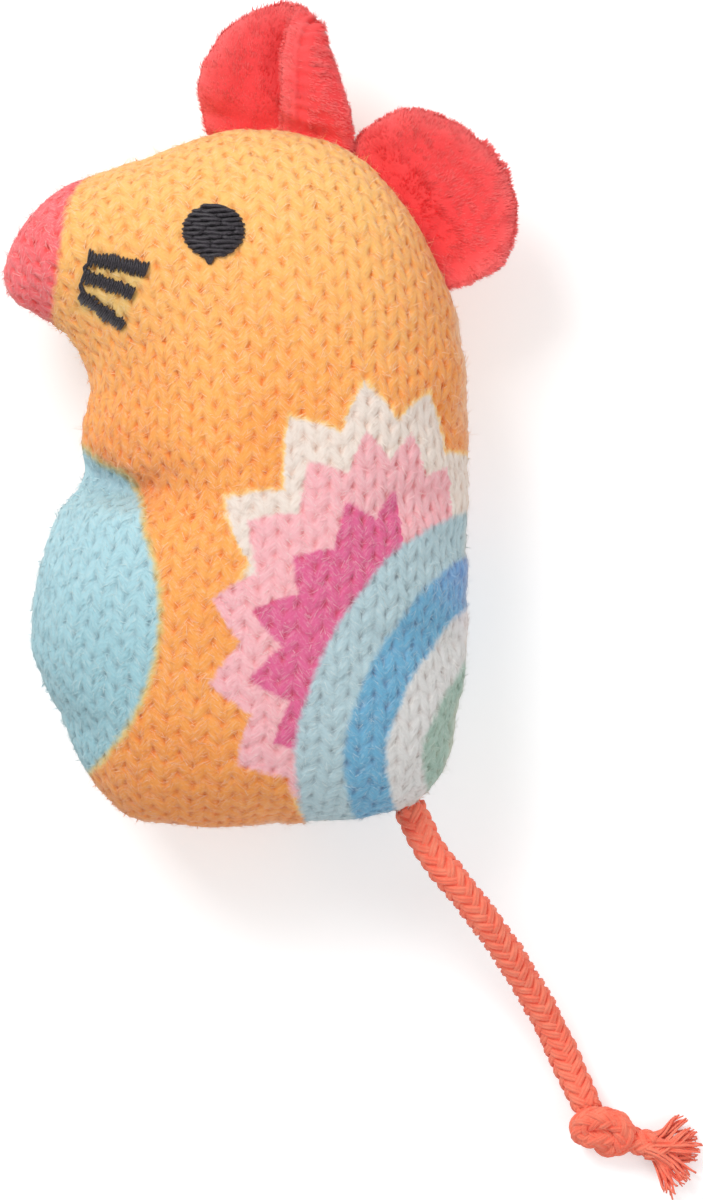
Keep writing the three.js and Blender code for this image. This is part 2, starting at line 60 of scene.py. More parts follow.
seam_marks = np.array([
    (-30.8, 28.0), (-29, 32.9), (-23.8, 38.0), (-13.8, 41.9), (-7.2, 44.1), (-1.5, 45.0),
    (4.6, 43.8), (10, 41.6), (15.5, 36), (20.2, 27.6), (22.5, 19.2), (23, -4.6),
    (22.2, -19.6), (19.9, -28.8), (16.1, -33.1), (7.2, -34.6), (-5.2, -35.3), (-15, -34.7),
    (-19.8, -30.7), (-24.4, -22.3), (-27.5, -14.7), (-26.8, -6.3), (-24.4, 0.9), (-22.1, 4.3),
    (-22.2, 6.8), (-21.8, 10.9), (-21, 15.8), (-23, 20.5), (-26.2, 23.2), (-29.7, 25.3),
]) / 1000
body_middle = np.array([0.0023, 0.0138])
waist_fold = np.array([(-22, 6.6), (-11.5, 1.9)]) / 1000
waist_tuck = np.array([(-22.4, 6.9), (-18.4, 4.7), (-15, 3.5), (-11.8, 4.3)]) / 1000


def curve_between(share, start, stop, leave, arrive):
    return ((2 * share**3 - 3 * share**2 + 1) * start + (share**3 - 2 * share**2 + share) * leave
            + (3 * share**2 - 2 * share**3) * stop + (share**3 - share**2) * arrive)


def seam_course(marks, per_span):
    share = (np.arange(per_span) / per_span)[:, None]
    course = []
    for i in range(len(marks)):
        a, b, c, d = (marks[(i + k) % len(marks)] for k in (-1, 0, 1, 2))
        before, here, after = (np.linalg.norm(q - p) ** 0.5 for p, q in ((a, b), (b, c), (c, d)))
        leave = ((b - a) / before - (c - a) / (before + here) + (c - b) / here) * here
        arrive = ((c - b) / here - (d - b) / (here + after) + (d - c) / after) * here
        course.append(curve_between(share, b, c, leave, arrive))
    return np.concatenate(course)


def evenly(points, count, closed=False):
    line = np.vstack([points, points[:1]]) if closed else np.asarray(points, float)
    along = np.r_[0, np.cumsum(np.linalg.norm(np.diff(line, axis=0), axis=1))]
    stops = np.arange(count) / (count if closed else count - 1) * along[-1]
    return np.stack([np.interp(stops, along, line[:, k]) for k in range(line.shape[1])], 1)


seam = evenly(seam_course(seam_marks, 40), 480, closed=True)
seam_step = np.linalg.norm(seam[1] - seam[0])


def room_around(place):
    apart = ((place[:, None] - seam[None]) ** 2).sum(2)
    return math.pi / (seam_step / np.maximum(apart, 1e-12)).sum(1)


fullest_room = room_around(np.zeros((1, 2)))[0]


def bell(distance, width):
    return np.exp(-((distance / width) ** 2))


def cover_height(place):
    share = np.minimum(1, (room_around(place) / fullest_room) ** edge_roundness)
    swell = fullest_rise * (1 - (1 - share) ** crown_fullness)
    run = waist_fold[1] - waist_fold[0]
    beside = np.clip((place - waist_fold[0]) @ run / (run @ run), 0, 1)
    near = np.linalg.norm(place - waist_fold[0] - beside[:, None] * run, axis=1)
    return seam_rise + swell - np.minimum(fold_depth, swell / 3) * bell(near, fold_width)


def tucked(points, normals):
    line = evenly(waist_tuck, tuck_steps)
    far = np.linalg.norm(points[:, None, :2] - line[None], axis=2)
    nearest = far.argmin(1)
    near = far.min(1) * 1000
    above = (points[:, 1] - line[nearest, 1]) * 1000
    from_seam = np.sqrt(((points[:, None, :2] - seam[None, ::2]) ** 2).sum(2).min(1)) * 1000
    inward = np.clip((from_seam - 0.5) / 2.6, 0, 1)
    fade = np.clip((tuck_steps - 1 - nearest) / 14, 0, 1)
    reach = np.where(above > 0, 1.0, 3.4 - 2.4 * nearest / (tuck_steps - 1))
    chest = 0.9 * bell(near - 2.2, 1.4) * (above > 0)
    belly = 0.7 * bell(near - reach - 2.2, 2.0) * (above <= 0)
    swell = (chest + belly) * fade * inward * inward * (3 - 2 * inward) / 1000
    height = points[:, 2] - seam_plane
    # crease marks the tuck's fold: it sinks the cloth here and is also painted on the knit as shade
    crease = bell(near, reach) * fade
    sink = np.clip(tuck_share * height, -tuck_depth, tuck_depth) * crease
    return points + normals * [0.35, 0.35, 1] * swell[:, None] - sink[:, None] * [0, 0, 1], crease


def new_piece(name, points, faces):
    mesh = bpy.data.meshes.new(name)
    mesh.from_pydata(np.asarray(points).tolist(), [], faces)
    mesh.update()
    piece = bpy.data.objects.new(name, mesh)
    bpy.context.collection.objects.link(piece)
    pick(piece)
    return piece


def pick(piece):
    bpy.ops.object.select_all(action="DESELECT")
    piece.select_set(True)
    bpy.context.view_layer.objects.active = piece


def points_of(piece):
    points = np.empty(len(piece.data.vertices) * 3)
    piece.data.vertices.foreach_get("co", points)
    return points.reshape(-1, 3)


def set_points(piece, points):
    piece.data.vertices.foreach_set("co", np.ascontiguousarray(points, float).ravel())
    piece.data.update()


def normals_of(piece):
    normals = np.empty(len(piece.data.vertices) * 3, np.float32)
    piece.data.vertex_normals.foreach_get("vector", normals)
    return normals.reshape(-1, 3).astype(float)


def in_edit_mode(*steps):
    bpy.ops.object.mode_set(mode="EDIT")
    bpy.ops.mesh.select_all(action="SELECT")
    for step in steps:
        step()
    bpy.ops.object.mode_set(mode="OBJECT")


def pillow(rings, fullness):
    around = len(seam)
    points = [np.c_[seam, np.zeros(around)]]
    for ring in range(1, rings):
        place = seam + (body_middle - seam) * (ring / rings) ** 2
        points.append(np.c_[place, fullness * cover_height(place)])
    top = np.r_[body_middle, fullness * cover_height(body_middle[None])][None]
    half = np.concatenate(points + [top])
    faces = []
    for ring in range(rings - 1):
        for j in range(around):
            i = (j + 1) % around
            faces.append((ring * around + i, ring * around + j,
                          (ring + 1) * around + j, (ring + 1) * around + i))
    tip = rings * around
    faces += [((rings - 1) * around + (j + 1) % around, (rings - 1) * around + j, tip)
              for j in range(around)]
    below = half[around:] * [1, 1, -1]
    lower = [tuple(k if k < around else k + len(half) - around for k in face[::-1])
             for face in faces]
    points = np.concatenate([half, below])
    points[:, 2] += seam_plane
    return points, faces + lower


body = new_piece("stuffed_body", *pillow(pillow_rings, unstuffed_share))
body.data.remesh_voxel_size = cloth_grid
bpy.ops.object.voxel_remesh()
cut = points_of(body)
sewn = body.vertex_groups.new(name="sewn")
for i, height in enumerate(cut[:, 2] - seam_plane):
    hold = math.exp(-((height / 0.0009) ** 2))
    if hold > 0.05:
        sewn.add([i], hold, "REPLACE")
stuffing = body.modifiers.new("stuffing", "CLOTH")
for name, value in {
    "quality": 5, "mass": 0.003, "use_pressure": True, "uniform_pressure_force": 120,
    "tension_stiffness": 6, "compression_stiffness": 6, "shear_stiffness": 3,
    "bending_stiffness": 0.05, "shrink_min": -0.05, "shrink_max": -0.05,
    "vertex_group_mass": "sewn", "pin_stiffness": 2,
}.items():
    setattr(stuffing.settings, name, value)
stuffing.settings.effector_weights.gravity = 0
stuffing.collision_settings.use_collision = False
for moment in range(1, stuffing_frames + 1):
    bpy.context.scene.frame_set(moment)
bpy.ops.object.modifier_apply(modifier="stuffing")
bpy.context.scene.frame_set(1)
body.vertex_groups.clear()
swollen = points_of(body) - cut
far = np.linalg.norm(swollen, axis=1, keepdims=True)
set_points(body, cut + swollen * np.minimum(1, most_swelling / np.maximum(far, 1e-9)))
in_edit_mode(partial(bpy.ops.mesh.vertices_smooth, factor=0.5, repeat=3))
lying = tucked(points_of(body), normals_of(body))[0]
lying[:, 2] = np.maximum(lying[:, 2], table_clearance + knit_clearance)
set_points(body, lying)
cloth_face = BVHTree.FromObject(body, bpy.context.evaluated_depsgraph_get())

# Printed knit: each side is one panel of white brushed knit, two 1.5 mm ribs to a stitch column.
# Nose, belly, rings and sunburst are dyed into its face; the loops leave small hollows, painted
# darker as shade, and the nap stands off as loose hairs. The panels meet in the seam.
rib_width, stitch_height = 3.05, 2.6
leg_rise, hollow_depth, spine_depth = 0.14, 0.44, 0.06
star_middle, ring_middle, belly_middle = (18.31, -15.07), (32.2, -26.8), (-37.1, -10.7)
crease_shade_middle, fold_middle = (-15.5, 4.5), (-20.5, 5.5)
bend_from, bend_share = 2.6, 0.0388
seam_draw = 0.75


def knit_form(across, along):
    across = across + 0.14 * np.sin(along * 0.61 + 0.3 * across) + 0.1 * np.sin(along * 1.7 + 1.1)
    along = along + 0.16 * np.sin(across * 0.83 + 0.2 * along)
    edge = np.abs(2 * ((across / rib_width) % 1) - 1)
    row = along / stitch_height - 0.55 * edge
    gap = np.abs(row - np.round(row)) * stitch_height
    varied = 0.75 + (0.35 * np.sin(across * 1.9 + along * 0.71)
                     * np.sin(along * 1.27 - across * 0.43))
    varied *= 1 + 0.22 * np.clip((along + 6) / 24, -1, 1)
    # the hollows dent the cloth; the mask returned from them is painted on the knit as shade
    hollow_and_shade = bell(gap, 0.54) * np.abs(2 * edge - 1) ** 2.2 * varied
    round_leg = np.sqrt(np.maximum(0, 1 - (1 - 2 * gap / stitch_height) ** 2)) - 1
    spine = bell(edge, 0.16) + bell(1 - edge, 0.16)
    relief = leg_rise * round_leg - hollow_depth * hollow_and_shade - spine_depth * spine
    strand = np.stack([row * stitch_height * 0.73, edge * rib_width * 0.69,
                       np.floor(2 * across / rib_width) * 3.7], 1)
    slope = np.where((across / rib_width) % 1 > 0.5, 1.0, -1.0)
    return relief, np.clip(1.1 * hollow_and_shade + 0.1 * bell(gap, 0.3), 0, 1), strand, slope


def dye(red, green, blue):
    return tuple((c / 12.92 if c <= 0.04045 else ((c + 0.055) / 1.055) ** 2.4)
                 for c in (red / 255, green / 255, blue / 255)) + (1,)


def place_node(tree, kind, **settings):
    made = tree.nodes.new(kind)
    for name, value in settings.items():
        setattr(made, name, value)
    return made


def feed(tree, socket, value):
    if isinstance(value, bpy.types.NodeSocket):
        tree.links.new(value, socket)
    else:
        socket.default_value = value


def worked(tree, operation, *values):
    made = place_node(tree, "ShaderNodeMath", operation=operation)
    for socket, value in zip(made.inputs, values):
        feed(tree, socket, value)
    return made.outputs[0]


def spread(tree, value, low, high, start=0.0, end=1.0):
    made = place_node(tree, "ShaderNodeMapRange", interpolation_type="SMOOTHSTEP")
    for socket, given in zip(made.inputs, (value, low, high, start, end)):
        feed(tree, socket, given)
    return made.outputs[0]


def laid_over(tree, share, under, over, blend="MIX"):
    made = place_node(tree, "ShaderNodeMix", data_type="RGBA", blend_type=blend)
    for index, given in ((0, share), (6, under), (7, over)):
        feed(tree, made.inputs[index], given)
    return made.outputs[2]


def cloudy(tree, where, scale, detail=2.0):
    made = place_node(tree, "ShaderNodeTexNoise")
    feed(tree, made.inputs["Vector"], where)
    made.inputs["Scale"].default_value = scale
    made.inputs["Detail"].default_value = detail
    return made.outputs["Fac"]


def new_group(name, inputs, outputs):
    tree = bpy.data.node_groups.new(name, "ShaderNodeTree")
    for label, kind in inputs:
        tree.interface.new_socket(label, in_out="INPUT", socket_type=kind)
    for label, kind in outputs:
        tree.interface.new_socket(label, in_out="OUTPUT", socket_type=kind)
    return tree, tree.nodes.new("NodeGroupInput"), tree.nodes.new("NodeGroupOutput")


def new_finish(name):
    finish = bpy.data.materials.new(name)
    finish.use_nodes = True
    tree = finish.node_tree
    shader = tree.nodes["Principled BSDF"]
    where = tree.nodes.new("ShaderNodeTexCoord").outputs["Object"]
    return finish, tree, shader, where


def read_mark(tree, name, output="Fac"):
    return place_node(tree, "ShaderNodeAttribute", attribute_name=name).outputs[output]


def dress(tree, shader, colour, rough, grain, strength, depth, plain):
    feed(tree, shader.inputs["Base Color"], colour)
    feed(tree, shader.inputs["Roughness"], rough)
    for name, value in plain.items():
        shader.inputs[name].default_value = value
    bump = place_node(tree, "ShaderNodeBump")
    bump.inputs["Strength"].default_value = strength
    bump.inputs["Distance"].default_value = depth
    feed(tree, bump.inputs["Height"], grain)
    feed(tree, shader.inputs["Normal"], bump.outputs[0])


def print_on_knit():
    tree, start, end = new_group("knit_print", [("Place", "NodeSocketVector")],
                                 [("Dye", "NodeSocketColor")])
    calc, ramp, lay = (partial(step, tree) for step in (worked, spread, laid_over))
    times, scaled, less, larger = (partial(calc, step) for step in (
        "MULTIPLY", "MULTIPLY_ADD", "SUBTRACT", "MAXIMUM"))
    place = start.outputs[0]
    bleed = place_node(tree, "ShaderNodeTexNoise")
    feed(tree, bleed.inputs["Vector"], place)
    bleed.inputs["Scale"].default_value = 1300
    bleed.inputs["Detail"].default_value = 2
    off = place_node(tree, "ShaderNodeVectorMath", operation="MULTIPLY_ADD")
    feed(tree, off.inputs[0], bleed.outputs["Color"])
    off.inputs[1].default_value = (0.001, 0.001, 0)
    feed(tree, off.inputs[2], place)
    parts = place_node(tree, "ShaderNodeSeparateXYZ")
    feed(tree, parts.inputs[0], off.outputs[0])
    x, y = (scaled(parts.outputs[k], 1000.0, -0.5) for k in (0, 1))
    height = calc("ABSOLUTE", scaled(parts.outputs[2], 1000.0, -16.5))

    def from_centre(middle, across=x):
        dx, dy = less(across, middle[0]), less(y, middle[1])
        return dx, dy, calc("SQRT", calc("ADD", times(dx, dx), times(dy, dy)))

    def turn_of(dy, dx):
        return calc("DEGREES", calc("ARCTAN2", dy, dx))

    def within(value, limit, soft=0.48):
        return ramp(less(value, limit), -soft, soft, 1.0, 0.0)

    # ground colour, with painted light paler at the crown and painted shade low down, to the right
    # and in the crease
    tone = cloudy(tree, place, 60, 3)
    cloth = lay(ramp(tone, 0.3, 0.7), dye(248, 164, 80), dye(255, 181, 97))
    cloth = lay(ramp(y, 8, 44), cloth, dye(255, 200, 118))
    # painted shade: darker low down and towards the right
    low = larger(ramp(y, -6, -30, 0.0, 0.55), ramp(y, 3, -15, 0.0, 0.36))
    low = larger(low, ramp(x, 10, 21, 0.0, 0.4))
    cloth = lay(low, cloth, dye(240, 146, 70))
    # painted shade round the waist crease
    crease = from_centre(crease_shade_middle)[2]
    cloth = lay(ramp(crease, 9, 2, 0.0, 0.6), cloth, dye(238, 150, 78))

    # sunburst: one regular star of sixteen, in three layers and a fringe, on cloth that bends away
    bent = larger(less(x, bend_from), 0.0)
    unbent = scaled(times(bent, bent), bend_share, x)
    dx, dy, far = from_centre(star_middle, unbent)
    turn = turn_of(dy, times(dx, -1.0))
    lowest = ramp(turn, -58, -42, 0.84, 1.0)
    outer = times(ramp(turn, 14, 36, 0.76, 0.935), ramp(turn, 47, 60, 1.0, 1.07))
    inner = times(ramp(turn, 12, 40, 1.045, 0.945), lowest)
    inner = times(inner, ramp(turn, 90, 110, 1.0, 0.72))
    for colour, valley, tip, grown, first_valley, half_tooth, wide_from, wider in (
        (dye(254, 206, 128), 27.1, 31.7, outer, 26.0, 11.0, 81.0, -0.185),
        (dye(240, 226, 215), 26.5, 31.1, outer, 26.0, 11.0, 81.0, -0.185),
        (dye(246, 184, 190), 21.7, 25.5, lowest, -41.7, 11.07, 180.0, 0.0),
        (dye(226, 104, 150), 16.2, 19.9, inner, -41.6, 10.9, 34.6, -0.273),
    ):
        past = larger(less(turn, wide_from), 0.0)
        drawn = less(scaled(past, wider, turn), first_valley)
        tooth = calc("PINGPONG", calc("DIVIDE", drawn, half_tooth), 1.0)
        edge = times(scaled(tooth, tip - valley, valley), grown)
        cloth = lay(within(far, edge, 0.45), cloth, colour)

    # rings, which widen a little towards the back
    dx, dy, far = from_centre(ring_middle)
    turn = turn_of(dy, times(dx, -1.0))
    late = ramp(turn, 48, 74)
    far = scaled(times(ramp(turn, 0, 20), ramp(turn, 54, 38)), 0.8, far)
    blue = lay(late, dye(110, 176, 210), dye(126, 165, 222))
    white = lay(late, dye(224, 223, 221), dye(246, 236, 248))
    for colour, ring, wider in ((dye(182, 208, 215), 29.3, 0.0), (blue, 23.7, 1.1),
                                (white, 18.9, 0.7), (dye(166, 194, 180), 14.7, 0.0)):
        cloth = lay(within(far, scaled(late, wider, ring)), cloth, colour)

    # belly and nose, then the paler patch under the whiskers
    dx, dy, belly = from_centre(belly_middle)
    turn = turn_of(dy, dx)
    drawn_out = times(ramp(turn, 21, 33), ramp(turn, 46, 35))
    belly = scaled(drawn_out, -1.5, belly)
    cloth = lay(within(belly, 24.95), cloth, dye(224, 200, 130))
    # the belly's blue is painted lighter at the top and darker low down: painted light and shade
    sky = lay(ramp(y, 2, -22), dye(180, 221, 230), dye(158, 203, 213))
    cloth = lay(within(belly, 24.35), cloth, sky)
    brow = larger(less(y, 35.0), 0.0)
    nose_edge = scaled(times(brow, brow), 0.09, scaled(y, 0.139, -28.35))
    cloth = lay(within(x, nose_edge), cloth, dye(250, 112, 117))
    across, along = calc("ADD", x, 18.3), calc("ADD", y, -26.2)
    leaning = scaled(across, 0.92, times(along, -0.39)), scaled(across, 0.39, times(along, 0.92))
    drawn = larger(*(calc("DIVIDE", calc("ABSOLUTE", way), half)
                     for way, half in zip(leaning, (3.2, 3.7))))
    cloth = lay(ramp(drawn, 0.75, 1.15, 0.8, 0.0), cloth, dye(232, 196, 120))

    # paler knit along the seam: partly the seam's pale edge, partly painted light caught from the
    # table
    seam_pale_and_lit = calc("ADD", ramp(y, -22, -33, 0.15, 0.5), ramp(x, 17, 22, 0.0, 0.22))
    seam_pale_and_lit = times(seam_pale_and_lit, ramp(height, 0.3, 3.4, 1.0, 0.0))
    seam_pale_and_lit = times(seam_pale_and_lit, ramp(from_centre(fold_middle)[2], 3, 6))
    cloth = lay(seam_pale_and_lit, cloth, dye(252, 232, 212))
    # a paler strip up the right side wall: partly the pale seam edge, partly painted light
    side_pale_and_lit = times(ramp(y, 6, 14), ramp(y, 32, 26))
    side_pale_and_lit = times(side_pale_and_lit, ramp(x, 19.8, 21.8, 0.0, 0.36))
    side_pale_and_lit = times(side_pale_and_lit, ramp(height, 2.5, 6.5, 1.0, 0.0))
    cloth = lay(side_pale_and_lit, cloth, dye(250, 226, 200))
    feed(tree, end.inputs[0], cloth)
    return tree


knit_print = print_on_knit()


def knit_finish():
    finish, tree, shader, where = new_finish("printed_knit")
    lay, ramp = partial(laid_over, tree), partial(spread, tree)
    printed = place_node(tree, "ShaderNodeGroup", node_tree=knit_print)
    feed(tree, printed.inputs[0], where)
    dyed = printed.outputs[0]
    drawn = place_node(tree, "ShaderNodeVectorMath", operation="MULTIPLY")
    feed(tree, drawn.inputs[0], read_mark(tree, "strand", "Vector"))
    drawn.inputs[1].default_value = (5.2, 0.95, 1.0)
    fibres = cloudy(tree, drawn.outputs[0], 1.0, 2)
    specks = cloudy(tree, where, 2600, 3)
    # deep_tone_and_shade: darker orange, painted as shade where the hollow mark lies and also used
    # for darker fibres
    deep_tone_and_shade = lay(0.16, lay(0.8, dyed, dyed, "MULTIPLY"), dye(226, 104, 52))
    pale = lay(0.55, dyed, dye(255, 248, 238))
    colour = lay(worked(tree, "MULTIPLY", read_mark(tree, "hollow_and_shade"), 0.85), dyed, deep_tone_and_shade)
    colour = lay(ramp(fibres, 0.5, 0.78, 0.0, 0.34), colour, pale)
    colour = lay(ramp(fibres, 0.48, 0.24, 0.0, 0.3), colour, deep_tone_and_shade)
    colour = lay(ramp(specks, 0.5, 0.75, 0.0, 0.2), colour, pale)
    colour = lay(read_mark(tree, "stray"), colour, pale)
    grain = worked(tree, "ADD", worked(tree, "MULTIPLY", fibres, 1.6), specks)
    dress(tree, shader, colour, ramp(specks, 0.3, 0.7, 0.82, 0.97), grain, 0.55, 0.00014,
          {"Specular IOR Level": 0.18, "Sheen Weight": 0.22, "Sheen Roughness": 0.5})
    return finish


def copy_of_body(name):
    pick(body)
    bpy.ops.object.duplicate()
    copied = bpy.context.active_object
    copied.name = copied.data.name = name
    return copied


def cut_at_seam(sign, **closing):
    in_edit_mode(partial(bpy.ops.mesh.bisect, plane_co=(0, 0, seam_plane), plane_no=(0, 0, 1),
                         clear_inner=sign > 0, clear_outer=sign < 0, **closing))


def unit(vectors, least=0.0):
    return vectors / np.maximum(np.linalg.norm(vectors, axis=-1, keepdims=True), least)


def mark_points(piece, name, values):
    kind, field = ("FLOAT", "value") if values.ndim == 1 else ("FLOAT_VECTOR", "vector")
    mark = piece.data.attributes.new(name, kind, "POINT")
    mark.data.foreach_set(field, values.astype(np.float32).ravel())


printed_knit = knit_finish()
knit_sides = {}
for side, sign in (("left", 1), ("right", -1)):
    panel = copy_of_body(side + "_knit_panel")
    cut_at_seam(sign)
    in_edit_mode(partial(bpy.ops.uv.unwrap, method="MINIMUM_STRETCH", margin=0))
    finer = panel.modifiers.new("finer", "SUBSURF")
    finer.levels = finer.render_levels = 2
    bpy.ops.object.modifier_apply(modifier="finer")
    points, normals = points_of(panel), normals_of(panel)
    flat = np.empty(len(panel.data.loops) * 2, np.float32)
    panel.data.uv_layers.active.data.foreach_get("uv", flat)
    loop_vertex = np.empty(len(panel.data.loops), np.int64)
    panel.data.loops.foreach_get("vertex_index", loop_vertex)
    pattern = np.zeros((len(points), 2))
    pattern[loop_vertex] = flat.reshape(-1, 2)
    top = np.abs(normals[:, 2]) > 0.85
    here, there = pattern[top], points[top, :2] * 1000
    a, b = here - here.mean(0), there - there.mean(0)
    left, size, right = np.linalg.svd(a.T @ b)
    pattern = (pattern - here.mean(0)) @ left @ right * (size.sum() / (a * a).sum()) + there.mean(0)
    relief, hollow_and_shade, strand, slope = knit_form(pattern[:, 0], pattern[:, 1])
    # the waist tuck's crease joins the hollow mark: painted shade in the fold
    hollow_and_shade = np.minimum(1, hollow_and_shade + 0.85 * tucked(points, normals)[1])
    above = np.abs(points[:, 2] - seam_plane) * 1000
    calm = np.clip(above / 1.6, 0, 1)
    level = unit(normals * [1, 1, 0], 1e-6)
    drawn_in = seam_draw * bell(above, 0.75)
    moved = points + normals * (relief * calm / 1000)[:, None] - level * (drawn_in / 1000)[:, None]
    moved[:, 2] = np.maximum(moved[:, 2], table_clearance)
    set_points(panel, moved)
    mark_points(panel, "hollow_and_shade", hollow_and_shade * calm)
    mark_points(panel, "strand", strand)
    panel.data.materials.append(printed_knit)
    bpy.ops.object.shade_smooth()
    in_edit_mode(partial(bpy.ops.mesh.select_all, action="DESELECT"),
                 bpy.ops.mesh.select_non_manifold, bpy.ops.mesh.fill)
    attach(panel, "body")
    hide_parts(side + "_panel")
    knit_sides[side] = (panel, slope)

# Eye and whiskers: black machine stitching through the knit and its backing. The eye is an oval
# filled with level rows of short stitches; each whisker is a bar of satin stitch, whose threads
# run straight across it, and one thread runs on from bar to bar at the nose end.
eye_middle, eye_wide, eye_tall, eye_row = (-6.4, 33.0), 3.5, 3.06, 0.51
eye_thread, eye_stitch, thread_sides = (0.5, 0.42), 3.3, 8
pad_rings, pad_sides = 6, 36
whisker_thread, whisker_step = (0.31, 0.28), 0.25
whisker_bars = {
    "upper": ((-20.7, 29.9), (-14.0, 28.55), 1.6),
    "middle": ((-21.3, 27.95), (-15.6, 25.9), 1.45),
    "lower": ((-21.7, 25.7), (-16.8, 22.2), 1.3),
}


def on_cloth(across, along, sign):
    hit = cloth_face.ray_cast(Vector((across / 1000, along / 1000, seam_plane + sign * 0.05)),
                              Vector((0, 0, -sign)))
    return np.array(hit[0]) * 1000


def on_eye(across, along, sign, rise):
    return on_cloth(eye_middle[0] + across, eye_middle[1] + along, sign) + [0, 0, sign * rise]


def tube_rings(centres, run, hint, wide, tall, sides):
    beside = unit(np.cross(hint, run))
    rise = np.cross(run, beside)
    turn = np.arange(sides) / sides * math.tau
    wide, tall = (np.reshape(half, (-1, 1, 1)) for half in (wide, tall))
    return (centres[:, None] + beside[:, None] * np.cos(turn)[None, :, None] * wide
            + rise[:, None] * np.sin(turn)[None, :, None] * tall)


def add_tube(points, faces, rings):
    count, sides = rings.shape[:2]
    base = sum(map(len, points))
    for k in range(count - 1):
        here, there = base + k * sides, base + (k + 1) * sides
        for j in range(sides):
            i = (j + 1) % sides
            faces.append((here + j, here + i, there + i, there + j))
    faces.append(tuple(range(base, base + sides))[::-1])
    faces.append(tuple(range(base + (count - 1) * sides, base + count * sides)))
    points.append(rings.reshape(-1, 3))


def heading_along(line):
    return unit(np.gradient(line, axis=0))


def thread_mesh(lines, up, wide, tall):
    points, faces = [], []
    for line in lines:
        taper = np.ones(len(line))
        taper[[0, -1]] = 0.45
        add_tube(points, faces, tube_rings(line, heading_along(line), up, wide / 2 * taper,
                                           tall / 2 * taper, thread_sides))
    return np.concatenate(points) / 1000, faces


def thread_finish(name, dark, light, gloss):
    finish, tree, shader, where = new_finish(name)
    fibres = cloudy(tree, where, 5200, 3)
    colour = laid_over(tree, spread(tree, fibres, 0.35, 0.7), dark, light)
    rough = spread(tree, fibres, 0.3, 0.7, gloss - 0.1, gloss + 0.12)
    dress(tree, shader, colour, rough, fibres, 0.5, 0.00008,
          {"Specular IOR Level": 0.45, "Sheen Weight": 0.12})
    return finish


black_thread = thread_finish("black_thread", dye(25, 21, 26), dye(62, 54, 62), 0.48)


def face_outward():
    in_edit_mode(partial(bpy.ops.mesh.normals_make_consistent, inside=False))
    bpy.ops.object.shade_smooth()


def finish_thread(name, lines, sign, thread, node, pad=None):
    points, faces = thread_mesh(lines, (0, 0, sign), *thread)
    if pad is not None:
        faces += [tuple(len(points) + k for k in face) for face in pad[1]]
        points = np.concatenate([points, pad[0] / 1000])
    piece = new_piece(name, points, faces)
    face_outward()
    piece.data.materials.append(black_thread)
    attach(piece, "body")
    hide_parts(node)


